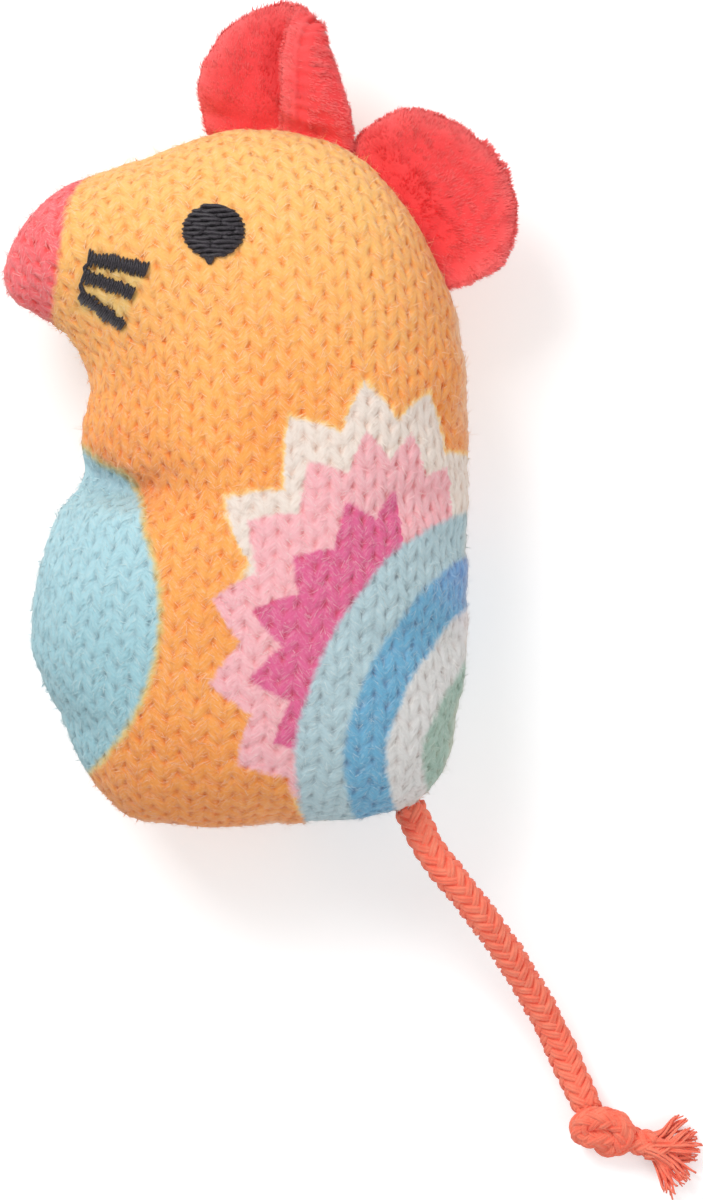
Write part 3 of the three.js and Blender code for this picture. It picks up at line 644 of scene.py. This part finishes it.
for side, sign in (("left", 1), ("right", -1)):
    chance = np.random.default_rng(21 if sign > 0 else 22)
    rows = []
    for k, level in enumerate(np.arange(-eye_tall + eye_row / 2, eye_tall, eye_row)):
        half = (eye_wide * math.sqrt(max(0.02, 1 - (level / eye_tall) ** 2))
                + chance.uniform(-0.06, 0.1))
        first = -3.4 + chance.uniform(0.4, 3.2)
        stops = [s for s in (first, first + eye_stitch) if abs(s) < half - 0.8]
        stops = [-half, *stops, half]
        for start, stop in zip(stops, stops[1:]):
            across = np.linspace(start - 0.1, stop + 0.1, max(5, int((stop - start) / 0.28)))
            dip = np.clip(np.minimum(across - across[0], across[-1] - across) / 0.35, 0, 1)
            tilt = chance.uniform(-0.09, 0.09)
            line = []
            for x, sunk in zip(across, dip):
                t = (x - start) / max(0.1, stop - start)
                y = level + 0.07 * math.sin(1.7 * x + 1.9 * k) + 0.04 * math.sin(4.3 * x - 2.3 * k)
                y += tilt * (t - 0.5)
                crown = 1 - (x / eye_wide) ** 2 - (level / eye_tall) ** 2
                line.append(on_eye(x, y, sign, 0.12 + 0.34 * max(0, crown) ** 0.5 + 0.16 * sunk))
            rows.append(np.array(line))
    for lean in (-0.55, -0.2, 0.2, 0.5):
        rows.append(np.array([on_eye(lean * (1 - t) - 0.45, -2.6 - 1.25 * t, sign, 0.42 - 0.3 * t)
                              for t in np.linspace(0, 1, 6)]))
    pad_points = [on_eye(0, 0, sign, 0.34)]
    pad_faces = [(0, 1 + j, 1 + (j + 1) % pad_sides) for j in range(pad_sides)]
    for ring in range(1, pad_rings + 1):
        share = ring / pad_rings
        rise = 0.3 * max(0, 1 - share**2) ** 0.5 - 0.02
        for turn in np.arange(pad_sides) / pad_sides * math.tau:
            across, along = eye_wide * share * math.cos(turn), eye_tall * share * math.sin(turn)
            pad_points.append(on_eye(across, along, sign, rise))
    for ring in range(pad_rings - 1):
        inner, outer = 1 + ring * pad_sides, 1 + (ring + 1) * pad_sides
        for j in range(pad_sides):
            i = (j + 1) % pad_sides
            pad_faces.append((inner + j, outer + j, outer + i, inner + i))
    finish_thread(side + "_eye_stitching", rows, sign, eye_thread, side + "_eye",
                  (np.array(pad_points), pad_faces))
    for bar, (start, stop, wide) in whisker_bars.items():
        start, stop = np.array(start), np.array(stop)
        run = (stop - start) / np.linalg.norm(stop - start)
        beside = np.array([-run[1], run[0]])
        rows = []
        for far in np.arange(0, np.linalg.norm(stop - start), whisker_step):
            place = start + run * far
            uneven = 1 + 0.1 * math.sin(far * 2.3 + wide * 9) + 0.07 * math.sin(far * 5.1)
            one, other = wide / 2 * uneven + chance.uniform(-0.14, 0.26, 2)
            lean = run * chance.uniform(-0.25, 0.25)
            line = []
            for t in np.linspace(0, 1, 8):
                spot = place + beside * (other - (one + other) * t) + lean * (t - 0.5)
                rise = 0.1 + 0.42 * math.sin(math.pi * t) ** 0.7
                line.append(on_cloth(*spot, sign) + [0, 0, sign * rise])
            rows.append(np.array(line))
        if bar != "lower":
            below = np.array(whisker_bars["middle" if bar == "upper" else "lower"][0])
            joins = evenly([start - beside * wide * 0.3 + run * 0.15,
                            (start + below) / 2 - run * 0.2,
                            below + beside * 0.4 + run * 0.2], 9)
            rows += [np.array([on_cloth(*(join + shift), sign) + [0, 0, sign * 0.22]
                               for join in joins]) for shift in (-0.1, 0.1)]
        finish_thread(side + "_whisker_stitching_" + bar, rows, sign, whisker_thread,
                      side + "_whisker_" + bar)

# Nap: the knit's face is brushed, so fine hairs lie along its stitches and a few stand off. They
# are drawn from the same dyed fibre, paler at random, and stop short of the stitching.
nap_hairs, nap_root, nap_floor = 28000, 0.00006, 0.00005
loose_share, loose_width, lying_width = 0.14, 0.00005, 0.00014
hair_steps, clear_of_stitching = 2, 0.5


def scatter(piece, count, chance, carried, keep=None):
    mesh = piece.data
    mesh.calc_loop_triangles()
    corner = np.empty(len(mesh.loop_triangles) * 3, np.int64)
    mesh.loop_triangles.foreach_get("vertices", corner)
    corner = corner.reshape(-1, 3)
    points, normals = points_of(piece), normals_of(piece)
    a, b, c = (points[corner[:, k]] for k in range(3))
    area = np.linalg.norm(np.cross(b - a, c - a), axis=1)
    if keep is not None:
        area = area * keep(points[corner].mean(1))
    chosen = chance.choice(len(corner), count, p=area / area.sum())
    u, v = chance.random((2, count))
    flip = u + v > 1
    u[flip], v[flip] = 1 - u[flip], 1 - v[flip]
    share = np.stack([1 - u - v, u, v], 1)[:, :, None]
    found = (points[corner[chosen]] * share).sum(1)
    facing = unit((normals[corner[chosen]] * share).sum(1))
    nearest = corner[chosen, share[:, :, 0].argmax(1)]
    return found, facing, carried[nearest]


def hairs_from(roots, facing, heading, length, width, lift, droop):
    heading = unit(heading - (heading * facing).sum(1, keepdims=True) * facing)
    beside = np.cross(facing, heading)
    rings = []
    for step in range(hair_steps + 1):
        t = step / hair_steps
        rise = (np.sin(lift) * t - droop * t * t)[:, None]
        spot = roots + length[:, None] * (heading * (np.cos(lift) * t)[:, None] + facing * rise)
        half = (width * (1 - 0.75 * t) / 2)[:, None]
        rings += [spot - beside * half, spot + beside * half]
    count = len(roots)
    points = np.stack(rings, 1).reshape(-1, 3)
    first = np.arange(count) * 2 * (hair_steps + 1)
    faces = [np.stack([first + 2 * s, first + 2 * s + 1, first + 2 * s + 3, first + 2 * s + 2], 1)
             for s in range(hair_steps)]
    return points, np.concatenate(faces).tolist()


def open_knit(spots):
    x, y = spots[:, 0] * 1000, spots[:, 1] * 1000
    free = np.abs(spots[:, 2] - seam_plane) > 0.0004
    free &= (((x - eye_middle[0]) / (eye_wide + clear_of_stitching)) ** 2
             + ((y - eye_middle[1]) / (eye_tall + clear_of_stitching)) ** 2 > 1)
    free &= (np.abs(x - eye_middle[0] + 0.4) > 1.2) | (np.abs(y - eye_middle[1] + eye_tall) > 1.8)
    for start, stop, wide in whisker_bars.values():
        start, run = np.array(start), np.array(stop) - np.array(start)
        share = np.clip((np.c_[x, y] - start) @ run / (run @ run), 0, 1)
        far = np.linalg.norm(np.c_[x, y] - start - share[:, None] * run, axis=1)
        free &= far > wide / 2 + clear_of_stitching
    return free


for side, sign in (("left", 1), ("right", -1)):
    panel, slope = knit_sides[side]
    chance = np.random.default_rng(11 if sign > 0 else 12)
    roots, facing, slope = scatter(panel, nap_hairs, chance, slope, open_knit)
    count = len(roots)
    heading = np.stack([np.ones(count), 0.95 * slope, np.zeros(count)], 1)
    heading += chance.normal(0, 0.42, (count, 3))
    heading *= np.where(chance.random(count) < 0.5, 1, -1)[:, None]
    loose = chance.random(count) < loose_share

    def either(of_loose, of_lying):
        return np.where(loose, chance.uniform(*of_loose, count), chance.uniform(*of_lying, count))

    long = either((0.0011, 0.0021), (0.0007, 0.0015))
    lift = either((0.3, 1.0), (0.08, 0.35))
    droop = either((0.1, 0.45), (0.1, 0.3))
    nap = new_piece(side + "_knit_nap", *hairs_from(
        roots - facing * nap_root, facing, heading, long, np.where(loose, loose_width, lying_width),
        lift, droop))
    mark_points(nap, "stray", np.repeat(chance.uniform(0.0, 0.66, count) ** 1.4, 6))
    low = points_of(nap)
    low[:, 2] = np.maximum(low[:, 2], nap_floor)
    set_points(nap, low)
    nap.data.materials.append(printed_knit)
    bpy.ops.object.shade_smooth()
    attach(nap, "body")

# Ears: each is two plies of coral short-pile plush sewn together round the rim, turned, and
# caught in the head seam. The front ear is rolled forward along its rear third; the rear one is
# dished, with its lower corner curling up.
ear_ply, ear_pile, ear_rows, ear_columns = 2.5, 31000, 64, 112
pile_width, pile_root = 0.00017, 0.00025
fold_from, fold_to = -0.6, 2.6
ears = {
    "front": {
        "joint": (1.941, 45.381), "axis": (0.985894, -0.167373), "top": 13.5,
        "left": [(-3, -8.8), (0, -9.7), (1.2, -10.4), (2.5, -10.8), (5, -10.7), (7, -10.0),
                 (9.1, -9.1), (11, -7.4), (12.3, -5.6), (13.1, -3.9), (13.5, -2.6)],
        "fold": [(-3, 8.4), (0, 8.4), (1.5, 7.4), (5.6, 5.4), (7.4, 4.4), (11.2, 2.4), (12.4, 1.1),
                 (13.1, -0.1), (13.5, -1.0)],
        "bend": [(-3, 0.5), (0, 0.75), (1.5, 1.25), (4, 1.6), (8, 1.55), (10.5, 1.2), (12.2, 0.75),
                 (13.1, 0.4), (13.5, 0.2)],
        "rim": [(-3, -0.1), (0, -0.4), (2, -0.7), (5, -1.2), (7.7, -1.7), (10, -1.7), (11.5, -1.5),
                (12.5, -1.3), (13.1, -1.3), (13.5, -1.7)],
        "turn": [(-3, 184), (14.2, 184)], "lift": 2.4, "lean": 1.0, "ruffle": 2.1,
        "deep_tone_and_shade": (-2.4, 5.8), "shade_size": (1.6, 4.2), "pile_spread": 0.3, "draw": 31,
    },
    "rear": {
        "joint": (16.741, 35.559), "axis": (0.57945, -0.815008), "top": 10.8,
        "left": [(-3, -9.8), (0, -10.6), (0.7, -10.7), (3.2, -10.8), (5.1, -10.4), (7, -9.1),
                 (8.3, -7.5), (9.7, -5.0), (10.6, -1.6), (10.8, 0.3)],
        "right": [(-3, 9.0), (0, 10.0), (2.2, 11.0), (4.4, 11.2), (7.7, 8.6), (9.8, 5.9),
                  (10.6, 3.1), (10.8, 0.9)],
        "curl_from": 7.2,
        "bend": [(-3, 30), (0, 8), (1.5, 3.6), (5, 3.6), (8, 5), (11.5, 12)],
        "turn": [(-3, 5), (0, 30), (1.5, 75), (5, 70), (8, 40), (11.5, 10)],
        "lift": 1.2, "lean": 0.6, "ruffle": 0,
        "deep_tone_and_shade": (-2, 0.5), "shade_size": (7, 2.2), "pile_spread": 0.7, "draw": 32,
    },
}


def plush_finish():
    finish, tree, shader, where = new_finish("coral_plush")
    patchy = cloudy(tree, where, 420, 3)
    strand = cloudy(tree, where, 3000, 2)
    # the tip mark, from dark root red to pale tip pink, carries the painted light and shade set on
    # the pile
    colour = laid_over(tree, read_mark(tree, "tip"), dye(238, 34, 40), dye(255, 128, 126))
    colour = laid_over(tree, spread(tree, patchy, 0.35, 0.7, 0.0, 0.3), colour, dye(248, 66, 71))
    dress(tree, shader, colour, spread(tree, strand, 0.3, 0.7, 0.78, 0.95), strand, 0.5, 0.0002,
          {"Specular IOR Level": 0.2, "Sheen Weight": 0.35, "Sheen Roughness": 0.35})
    return finish


coral_plush = plush_finish()


def ear_form(ear):
    rows, columns = ear_rows, ear_columns
    low, top = -2.6, ear["top"]
    height = low + (top - low) * np.sin(np.linspace(0, 1, rows) * math.pi / 2) ** 0.9

    def along_height(name):
        marks = np.array(ear[name])
        return np.interp(height, marks[:, 0], marks[:, 1])

    left, bend, turn = along_height("left"), along_height("bend"), np.radians(along_height("turn"))
    if "fold" in ear:
        solid = 0.5 * ear_ply * np.clip((top - height) / 1.7, 0.05, 1) ** 0.5
        start = along_height("fold") - bend - solid
        right = start + bend * turn + np.maximum(0.05, start - along_height("rim"))
    else:
        start = np.full(rows, ear["curl_from"])
        right = along_height("right")
    even = np.linspace(0, 1, columns)
    share = (1 - np.cos(even * math.pi)) / 2 * 0.5 + even * 0.5
    across = left[:, None] + (right - left)[:, None] * share
    up = np.repeat(height[:, None], columns, 1)
    edge = evenly(np.concatenate([np.c_[left, height], np.c_[right, height][::-1]]), 700)
    flat = np.stack([across, up], 2).reshape(-1, 2)
    inside = np.sqrt(((flat[:, None] - edge[None]) ** 2).sum(2)).min(1).reshape(rows, columns)
    thick = ear_ply * np.sqrt(np.maximum(0, 1 - (1 - np.clip(inside / 1.6, 0, 1)) ** 2))
    thick *= 0.45 + 0.55 * np.clip((up + 0.3) / 2.4, 0, 1)
    bend, turn, start = bend[:, None], turn[:, None], start[:, None]
    round_part = np.clip(across - start, 0, bend * turn)
    after = np.maximum(0, across - start - bend * turn)
    x = np.minimum(across, start) + bend * np.sin(round_part / bend) + after * np.cos(turn)
    z = bend * (1 - np.cos(round_part / bend)) + after * np.sin(turn)
    z = z + ear["lift"] * np.clip(up / 5, 0, 1) * (np.maximum(0, -across) / 10) ** 1.6
    z = z - ear["lean"] * np.maximum(0, up / top) ** 1.5
    form = np.stack([x, up, z], 2)
    facing = unit(np.cross(np.gradient(form, axis=1), np.gradient(form, axis=0)), 1e-9)
    puckers = np.zeros_like(thick)
    if ear["ruffle"]:
        beside = (right[:, None] - across) - ear["ruffle"]
        puckers = -0.42 * bell(beside, 0.38)
        waves = np.sin(up * 5.2 + 1.1 * np.sin(up * 1.7) + 0.35 * beside)
        puckers += 0.34 * waves * bell(beside, np.where(beside > 0, 2.6, 1.0))
        puckers *= np.clip(inside / 0.8, 0, 1) * np.clip(up / 1.5, 0, 1)
    sides = [form + facing * (thick / 2)[:, :, None],
             form - facing * (thick / 2 + puckers)[:, :, None]]
    folded = np.tile((round_part > 0.55 * bend * turn).ravel(), 2) * (turn.max() > 2)
    sewn_line = bell(right[:, None] - across - ear["ruffle"], 0.5) * (ear["ruffle"] > 0)
    outer = np.tile((right[:, None] - across < ear["ruffle"] - 0.4).ravel(), 2)
    folded = (folded * np.where(outer, -1.0, 1.0)
              + 2.0 * np.tile((sewn_line > 0.4).ravel(), 2) * folded)
    rim = np.tile(np.exp(-inside / 1.4).ravel(), 2)
    faces = []
    for k in range(rows - 1):
        for j in range(columns - 1):
            a = k * columns + j
            quad = (a, a + 1, a + columns + 1, a + columns)
            faces += [quad, tuple(rows * columns + v for v in quad[::-1])]
    for j in range(columns - 1):
        faces.append((j, rows * columns + j, rows * columns + j + 1, j + 1))
    return (np.concatenate([side.reshape(-1, 3) for side in sides]), faces,
            {"folded": folded, "rim": rim})


noise.seed_set(5)
for name, ear in ears.items():
    run = np.array([*ear["axis"], 0])
    out = np.array([-run[1], run[0], 0])
    root = np.array([*ear["joint"], seam_plane * 1000])
    points, faces, marks = ear_form(ear)
    lumps = np.array([noise.noise(Vector(p) * 0.35) + 0.4 * noise.noise(Vector(p) * 0.9)
                      for p in points])
    points[:, 2] += 0.35 * lumps
    points = root + points[:, :1] * run + points[:, 1:2] * out + points[:, 2:] * [0, 0, 1]
    plush = new_piece(name + "_ear_plush", points / 1000, faces)
    for label, values in marks.items():
        mark_points(plush, label, values)
    in_edit_mode(partial(bpy.ops.mesh.remove_doubles, threshold=0.00002))
    face_outward()
    chance = np.random.default_rng(ear["draw"])
    marked = np.empty((2, len(plush.data.vertices)), np.float32)
    for values, label in zip(marked, marks):
        plush.data.attributes[label].data.foreach_get("value", values)
    spots, facing, carried = scatter(plush, ear_pile, chance, marked.T)
    flap, rim = carried.T
    count = len(spots)
    flow = (spots * 1000 - root) @ np.stack([run, out], 1)
    heading = unit(flow[:, :1] * ear["pile_spread"] * run + np.maximum(flow[:, 1:2] + 2, 2) * out)
    heading = np.where(flap[:, None] > 0.5, run - 0.15 * out, heading)
    heading = np.where(flap[:, None] < -0.5, 0.35 * out - run, heading)
    locks = np.array([noise.noise_vector(Vector(spot) * 900) for spot in spots])
    heading = heading + 0.42 * locks + chance.normal(0, 0.14, heading.shape)
    lift = np.clip(0.36 + 0.2 * locks[:, 2] + chance.normal(0, 0.12, count), 0.1, 1.0)
    long = chance.uniform(0.0008, 0.0013, count) * np.where(flap > 1.5, 0.4, 1)
    hair_points, hair_faces = hairs_from(
        spots - facing * pile_root, facing, heading, long, np.full(count, pile_width), lift,
        chance.uniform(0.05, 0.3, count))
    # painted light and shade on the pile: lighter at the rim and on the rolled flap, darker in the
    # hollow beside the roll and, on the rear ear, by its base; the sewn line is darker too
    shade = np.clip(chance.normal(0, 0.07, count) + 0.1 * locks[:, 0], -0.2, 0.2)
    shade += 0.55 * rim - 0.15 - 0.3 * (flap > 1.5) + 0.12 * (np.abs(flap) == 1)
    beyond = (flow - ear["deep_tone_and_shade"]) / ear["shade_size"]
    shade -= 0.58 * np.exp(-(beyond**2).sum(1)) * (flap == 0)
    # each hair is painted darker at the root, as shade deep in the pile, and lighter at the tip
    ends = np.clip(np.tile(np.repeat([0.1, 0.5, 0.95], 2), count) + np.repeat(shade, 6), 0, 1)
    base = points_of(plush)
    shape_faces = [tuple(face.vertices) for face in plush.data.polygons]
    bpy.data.objects.remove(plush)
    plush = new_piece(name + "_ear_plush", np.concatenate([base, hair_points]),
                      shape_faces + [tuple(len(base) + v for v in face) for face in hair_faces])
    bpy.ops.object.shade_smooth()
    # the base cloth is painted lighter towards the rim
    mark_points(plush, "tip", np.concatenate([0.25 + 0.5 * marked[1], ends]))
    plush.data.materials.append(coral_plush)
    start, stop = (root + out * fold_from) / 1000, (root + out * fold_to) / 1000
    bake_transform(plush)
    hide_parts(name + "_ear_face", name + "_ear_back")

# Tail: a round braid of twelve coral strands, each of two soft yarns, caught in the rump seam.
# It drops to the table, ends in one overhand knot and frays out past it.
tail_swivel = np.array([17.674, -35.311, 16.5])
tail_plan = np.array([
    (-0.6, 0), (0.4, -2.1), (1.8, -4.1), (3.4, -6.1), (5, -8.1), (6.6, -10.2), (8.2, -12.4),
    (9.8, -14.7), (11.2, -17), (12.6, -19.3), (13.9, -21.6), (15, -23.9), (16.1, -26.2),
    (17.1, -28.5), (18.1, -30.6), (18.9, -32.3),
])
cord_diameter, braid_lead, strand_pairs = 3.6, 8.8, 6
core_sides, strand_sides = 16, 8
inside_seam, lying_height = 2.4, 2.7
fall = np.clip((np.arange(16) / 15 - 0.08) / 0.78, 0, 1)
fall = fall * fall * (3 - 2 * fall)
tail_route = np.c_[tail_swivel[:2] + tail_plan, 16.5 + (lying_height - 16.5) * fall]
out_of_seam = (tail_route[1] - tail_route[0]) / np.linalg.norm(tail_route[1] - tail_route[0])
tail_route = np.vstack([tail_route[0] - out_of_seam * inside_seam, tail_route])


def smooth_line(points, step):
    points = np.asarray(points, float)
    ends = np.vstack([2 * points[0] - points[1], points, 2 * points[-1] - points[-2]])
    fine = []
    share = np.linspace(0, 1, 24, endpoint=False)[:, None]
    for k in range(1, len(ends) - 2):
        a, b, c, d = ends[k - 1:k + 3]
        leave, arrive = (c - a) / 2, (d - b) / 2
        fine.append(curve_between(share, b, c, leave, arrive))
    fine = np.vstack([*fine, points[-1:]])
    long = np.linalg.norm(np.diff(fine, axis=0), axis=1).sum()
    return evenly(fine, int(long / step) + 2), long


def carried_frames(line):
    run = heading_along(line)
    up = np.array([0.0, 0.0, 1.0])
    ups = []
    for way in run:
        up = up - (up @ way) * way
        up /= np.linalg.norm(up)
        ups.append(up)
    ups = np.array(ups)
    return run, ups, np.cross(run, ups)


def braid(line, radius):
    run, up, beside = carried_frames(line)
    along = np.r_[0, np.cumsum(np.linalg.norm(np.diff(line, axis=0), axis=1))]
    radius = radius * (1 + 0.025 * np.sin(along * 0.9) + 0.015 * np.sin(along * 2.3 + 1))
    twist = 0.2 * np.sin(along * 0.31 + 0.5) + 0.08 * np.sin(along * 1.05)
    points, faces = [], []
    add_tube(points, faces, tube_rings(line, run, up, radius * 0.84, radius * 0.84, core_sides))
    for way in (1, -1):
        for strand in range(strand_pairs):
            turn = strand * math.tau / strand_pairs + way * math.tau * along / braid_lead
            turn = turn + (math.pi / 6 if way < 0 else 0)
            over = way * np.cos(3 * (turn + math.pi / 6))
            off = radius * (0.735 + 0.12 * over)
            turn = turn + twist
            out = up * np.cos(turn)[:, None] + beside * np.sin(turn)[:, None]
            middle = line + out * off[:, None]
            path = heading_along(middle)
            broad = unit(np.cross(out, path))
            for yarn in (-0.5, 0.5):
                centre = middle + broad * (yarn * 0.19 * radius)[:, None]
                add_tube(points, faces, tube_rings(
                    centre, path, out, radius * 0.165, radius * 0.215, strand_sides))
    return np.concatenate(points), faces


def cord_finish():
    finish, tree, shader, where = new_finish("coral_cord")
    patchy = cloudy(tree, where, 700, 2)
    fibres = cloudy(tree, where, 4200, 3)
    colour = laid_over(tree, spread(tree, patchy, 0.3, 0.7), dye(255, 117, 91), dye(255, 138, 110))
    colour = laid_over(tree, spread(tree, fibres, 0.45, 0.8, 0.0, 0.4), colour, dye(255, 172, 146))
    dress(tree, shader, colour, spread(tree, fibres, 0.3, 0.7, 0.7, 0.92), fibres, 0.4, 0.0001,
          {"Specular IOR Level": 0.25, "Sheen Weight": 0.2})
    return finish


coral_cord = cord_finish()


def finish_cord_piece(name, points, faces, node):
    piece = new_piece(name, points / 1000, faces)
    face_outward()
    piece.data.materials.append(coral_cord)
    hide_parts(node)
    return piece


tail_line, tail_length = smooth_line(tail_route, 0.27)
squeeze = 1 - 0.1 * np.clip((np.arange(len(tail_line)) - len(tail_line) + 14) / 14, 0, 1)
tail = finish_cord_piece("tail_braid", *braid(tail_line, cord_diameter / 2 * squeeze), "tail_cord")

# Knot and fray: the cord is drawn tight in an overhand knot, its lobes at the left and below,
# and its end is left to unravel into loose bundles of yarn.
knot_loop = np.array([
    (37.4, -69.6, 2.2), (37.9, -71.2, 1.75), (39.0, -72.3, 1.8), (40.3, -72.0, 2.4),
    (40.9, -71.0, 3.5), (40.4, -69.8, 4.0), (39.2, -69.2, 4.2), (37.7, -69.1, 4.2),
    (36.4, -69.5, 3.8), (35.9, -70.4, 3.2), (36.4, -71.2, 2.9), (37.8, -71.2, 3.2),
    (39.6, -71.3, 2.7), (41.3, -71.5, 2.4), (42.8, -71.9, 2.3),
])
tuft_start = np.array([44.3, -72.3, 2.3])
frayed_ends = [(3.6, 3.0), (4.4, 1.8), (4.9, 1.0), (5.4, -0.6), (4.9, -1.7), (4.1, -3.6),
               (3.7, -4.4), (2.1, -5.8)]
yarns_in_bundle, yarn_sides = 13, 5
knot_route = np.vstack([tail_line[-5], tail_line[-1], knot_loop, tuft_start])
knot_line, _ = smooth_line(knot_route, 0.26)
share = np.linspace(0, 1, len(knot_line))
knot_radius = np.interp(share, [0, 0.12, 0.25, 0.8, 1], [1.62, 1.5, 1.36, 1.36, 1.6])
knot = finish_cord_piece("tail_overhand_knot", *braid(knot_line, knot_radius), "tail_knot")

chance = np.random.default_rng(41)
points, faces = [], []
steps = np.linspace(0, 1, 12)[:, None]
for k, (reach_x, reach_y) in enumerate(frayed_ends):
    around = (k * 2.4) % math.tau
    root = tuft_start + np.array([-0.9, 0.95 * math.cos(around), 0.95 * math.sin(around)])
    tip = np.array([tuft_start[0] + reach_x, tuft_start[1] + reach_y, 1.0 + 0.95 * ((k * 2) % 4)])
    leave = root + np.array([0.96, -0.27, 0]) * 2.0
    arrive = tip - (tip - root) / np.linalg.norm(tip - root) * 1.5
    core = ((1 - steps) ** 3 * root + 3 * steps * (1 - steps) ** 2 * leave
            + 3 * steps**2 * (1 - steps) * arrive + steps**3 * tip)
    run = heading_along(core)
    level = unit(np.cross(run, (0, 0, 1)))
    rise = np.cross(level, run)
    for yarn in range(yarns_in_bundle):
        ring = 0.0 if yarn == 0 else (0.3 if yarn < 6 else 0.55)
        turn = yarn * 1.27 + steps * 2.2 + chance.uniform(0, 0.6)
        splay = ring * (1 + chance.uniform(-0.3, 1.3) * steps**3)
        line = core + level * splay * np.cos(turn) + rise * splay * np.sin(turn) * 0.9
        cut = chance.uniform(0.84, 1.06)
        line = line[0] + (line - line[0]) * (1 + (cut - 1) * steps)
        line = (line + level * chance.normal(0, 0.25) * steps**3
                + rise * chance.normal(0, 0.3) * steps**3)
        line[:, 2] = np.maximum(line[:, 2], 0.3)
        thin = (0.21 if yarn % 3 else 0.15) * (1 - 0.45 * steps[:, 0] ** 2)
        add_tube(points, faces, tube_rings(
            line, heading_along(line), (0, 0.3, 1.0), thin, thin, yarn_sides))
tuft = finish_cord_piece("tail_fray", np.concatenate(points), faces, "tail_tuft")
for piece in (knot, tuft):
    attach(piece, "tail")
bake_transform(tail)
anchor_line, _ = smooth_line([tail_route[1] - far * out_of_seam for far in (6.2, 3, 0.9)], 0.3)
swell = 1.45 + 0.9 * bell(np.linspace(0, 6, len(anchor_line)) - 1.6, 1.2)
anchor = finish_cord_piece("tail_root_knot", *braid(anchor_line, swell), "tail_anchor")
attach(anchor, "body")

# Inside: fibre fill on both sides of a wad of catnip, the webs behind the stitching and the sewing
# threads. The fill takes the shape of the cloth round it; the others keep the frame's shapes.
fill_inset, tuft_height = 0.0026, 0.0006


def inner_finish(name, low, high, fleck, scale, rough):
    finish, tree, shader, where = new_finish(name)
    clumps = cloudy(tree, where, scale, 4)
    grain = cloudy(tree, where, scale * 7, 3)
    colour = laid_over(tree, spread(tree, clumps, 0.3, 0.7), low, high)
    colour = laid_over(tree, spread(tree, grain, 0.6, 0.72), colour, fleck)
    dress(tree, shader, colour, spread(tree, grain, 0.3, 0.7, rough - 0.12, rough),
          grain, 0.7, 0.0003, {})
    return finish


fibre_fill = inner_finish(
    "fibre_fill", dye(226, 226, 222), dye(246, 246, 243), dye(255, 255, 255), 500, 0.97)
catnip = inner_finish("catnip", dye(92, 96, 52), dye(138, 134, 78), dye(176, 164, 110), 900, 0.95)
backing_web = inner_finish(
    "backing_web", dye(222, 220, 214), dye(238, 237, 232), dye(250, 250, 248), 1500, 0.92)
orange_thread = thread_finish("orange_thread", dye(226, 140, 62), dye(250, 178, 96), 0.55)
for finish, names in (
    (catnip, ("catnip_wad",)), (backing_web, ("left_backing", "right_backing")),
    (orange_thread, ("seam_thread", "closing_thread")),
):
    for name in names:
        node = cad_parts[name]
        node.data.materials.clear()
        node.data.materials.append(finish)

for side, sign in (("left", 1), ("right", -1)):
    fill = copy_of_body(side + "_fibre_fill")
    shrunk = points_of(fill) - normals_of(fill) * fill_inset
    tufts = np.array([noise.noise(Vector(p) * 260) for p in shrunk])
    set_points(fill, shrunk + normals_of(fill) * (tuft_height * tufts)[:, None])
    cut_at_seam(sign, use_fill=True)
    bpy.ops.object.shade_smooth()
    fill.data.materials.append(fibre_fill)
    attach(fill, "body")
    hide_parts(side + "_fill")
bpy.data.objects.remove(body)

# Floor, light and camera: a white sweep under soft studio light from the upper left, seen
# straight from above from far enough off that near and far parts keep their size.
camera_height, frame_height, sensor = 2.4, 0.138, 36
bpy.ops.mesh.primitive_plane_add(size=3, location=(0, 0, 0))
floor = bpy.context.active_object
floor.name = "floor"
white, tree, shader, where = new_finish("white_floor")
shader.inputs["Base Color"].default_value = (0.86, 0.86, 0.86, 1)
shader.inputs["Roughness"].default_value = 0.9
shader.inputs["Emission Color"].default_value = (1, 1, 1, 1)
ray = tree.nodes.new("ShaderNodeLightPath")
seen = worked(tree, "MAXIMUM", ray.outputs["Is Camera Ray"],
              worked(tree, "MAXIMUM", ray.outputs["Is Glossy Ray"],
                     ray.outputs["Is Transmission Ray"]))
feed(tree, shader.inputs["Emission Strength"], worked(tree, "MULTIPLY", seen, 0.36))
floor.data.materials.append(white)

sky = bpy.data.worlds.new("studio")
bpy.context.scene.world = sky
sky.use_nodes = True
sky.node_tree.nodes["Background"].inputs["Color"].default_value = (1, 1, 1, 1)
sky.node_tree.nodes["Background"].inputs["Strength"].default_value = 0.5
for name, place, size, power in (
    ("key", (-0.3, 0.42, 0.6), 0.35, 3.7),
    ("fill", (0.5, -0.3, 0.5), 0.5, 1.4),
):
    lamp = bpy.data.lights.new(name, "AREA")
    lamp.size = size
    lamp.energy = power
    holder = bpy.data.objects.new(name, lamp)
    holder.location = place
    holder.rotation_euler = (
        (Vector((0, 0, 0.01)) - Vector(place)).to_track_quat("-Z", "Y").to_euler())
    bpy.context.collection.objects.link(holder)

lens = bpy.data.cameras.new("camera")
lens.sensor_fit = "VERTICAL"
lens.sensor_height = sensor
lens.lens = sensor * camera_height / frame_height
lens.clip_start = 0.01
camera = bpy.data.objects.new("camera", lens)
camera.location = (0.00937, -0.0092, seam_plane + camera_height)
bpy.context.collection.objects.link(camera)
bpy.context.scene.camera = camera
bpy.context.scene.view_settings.view_transform = "Standard"
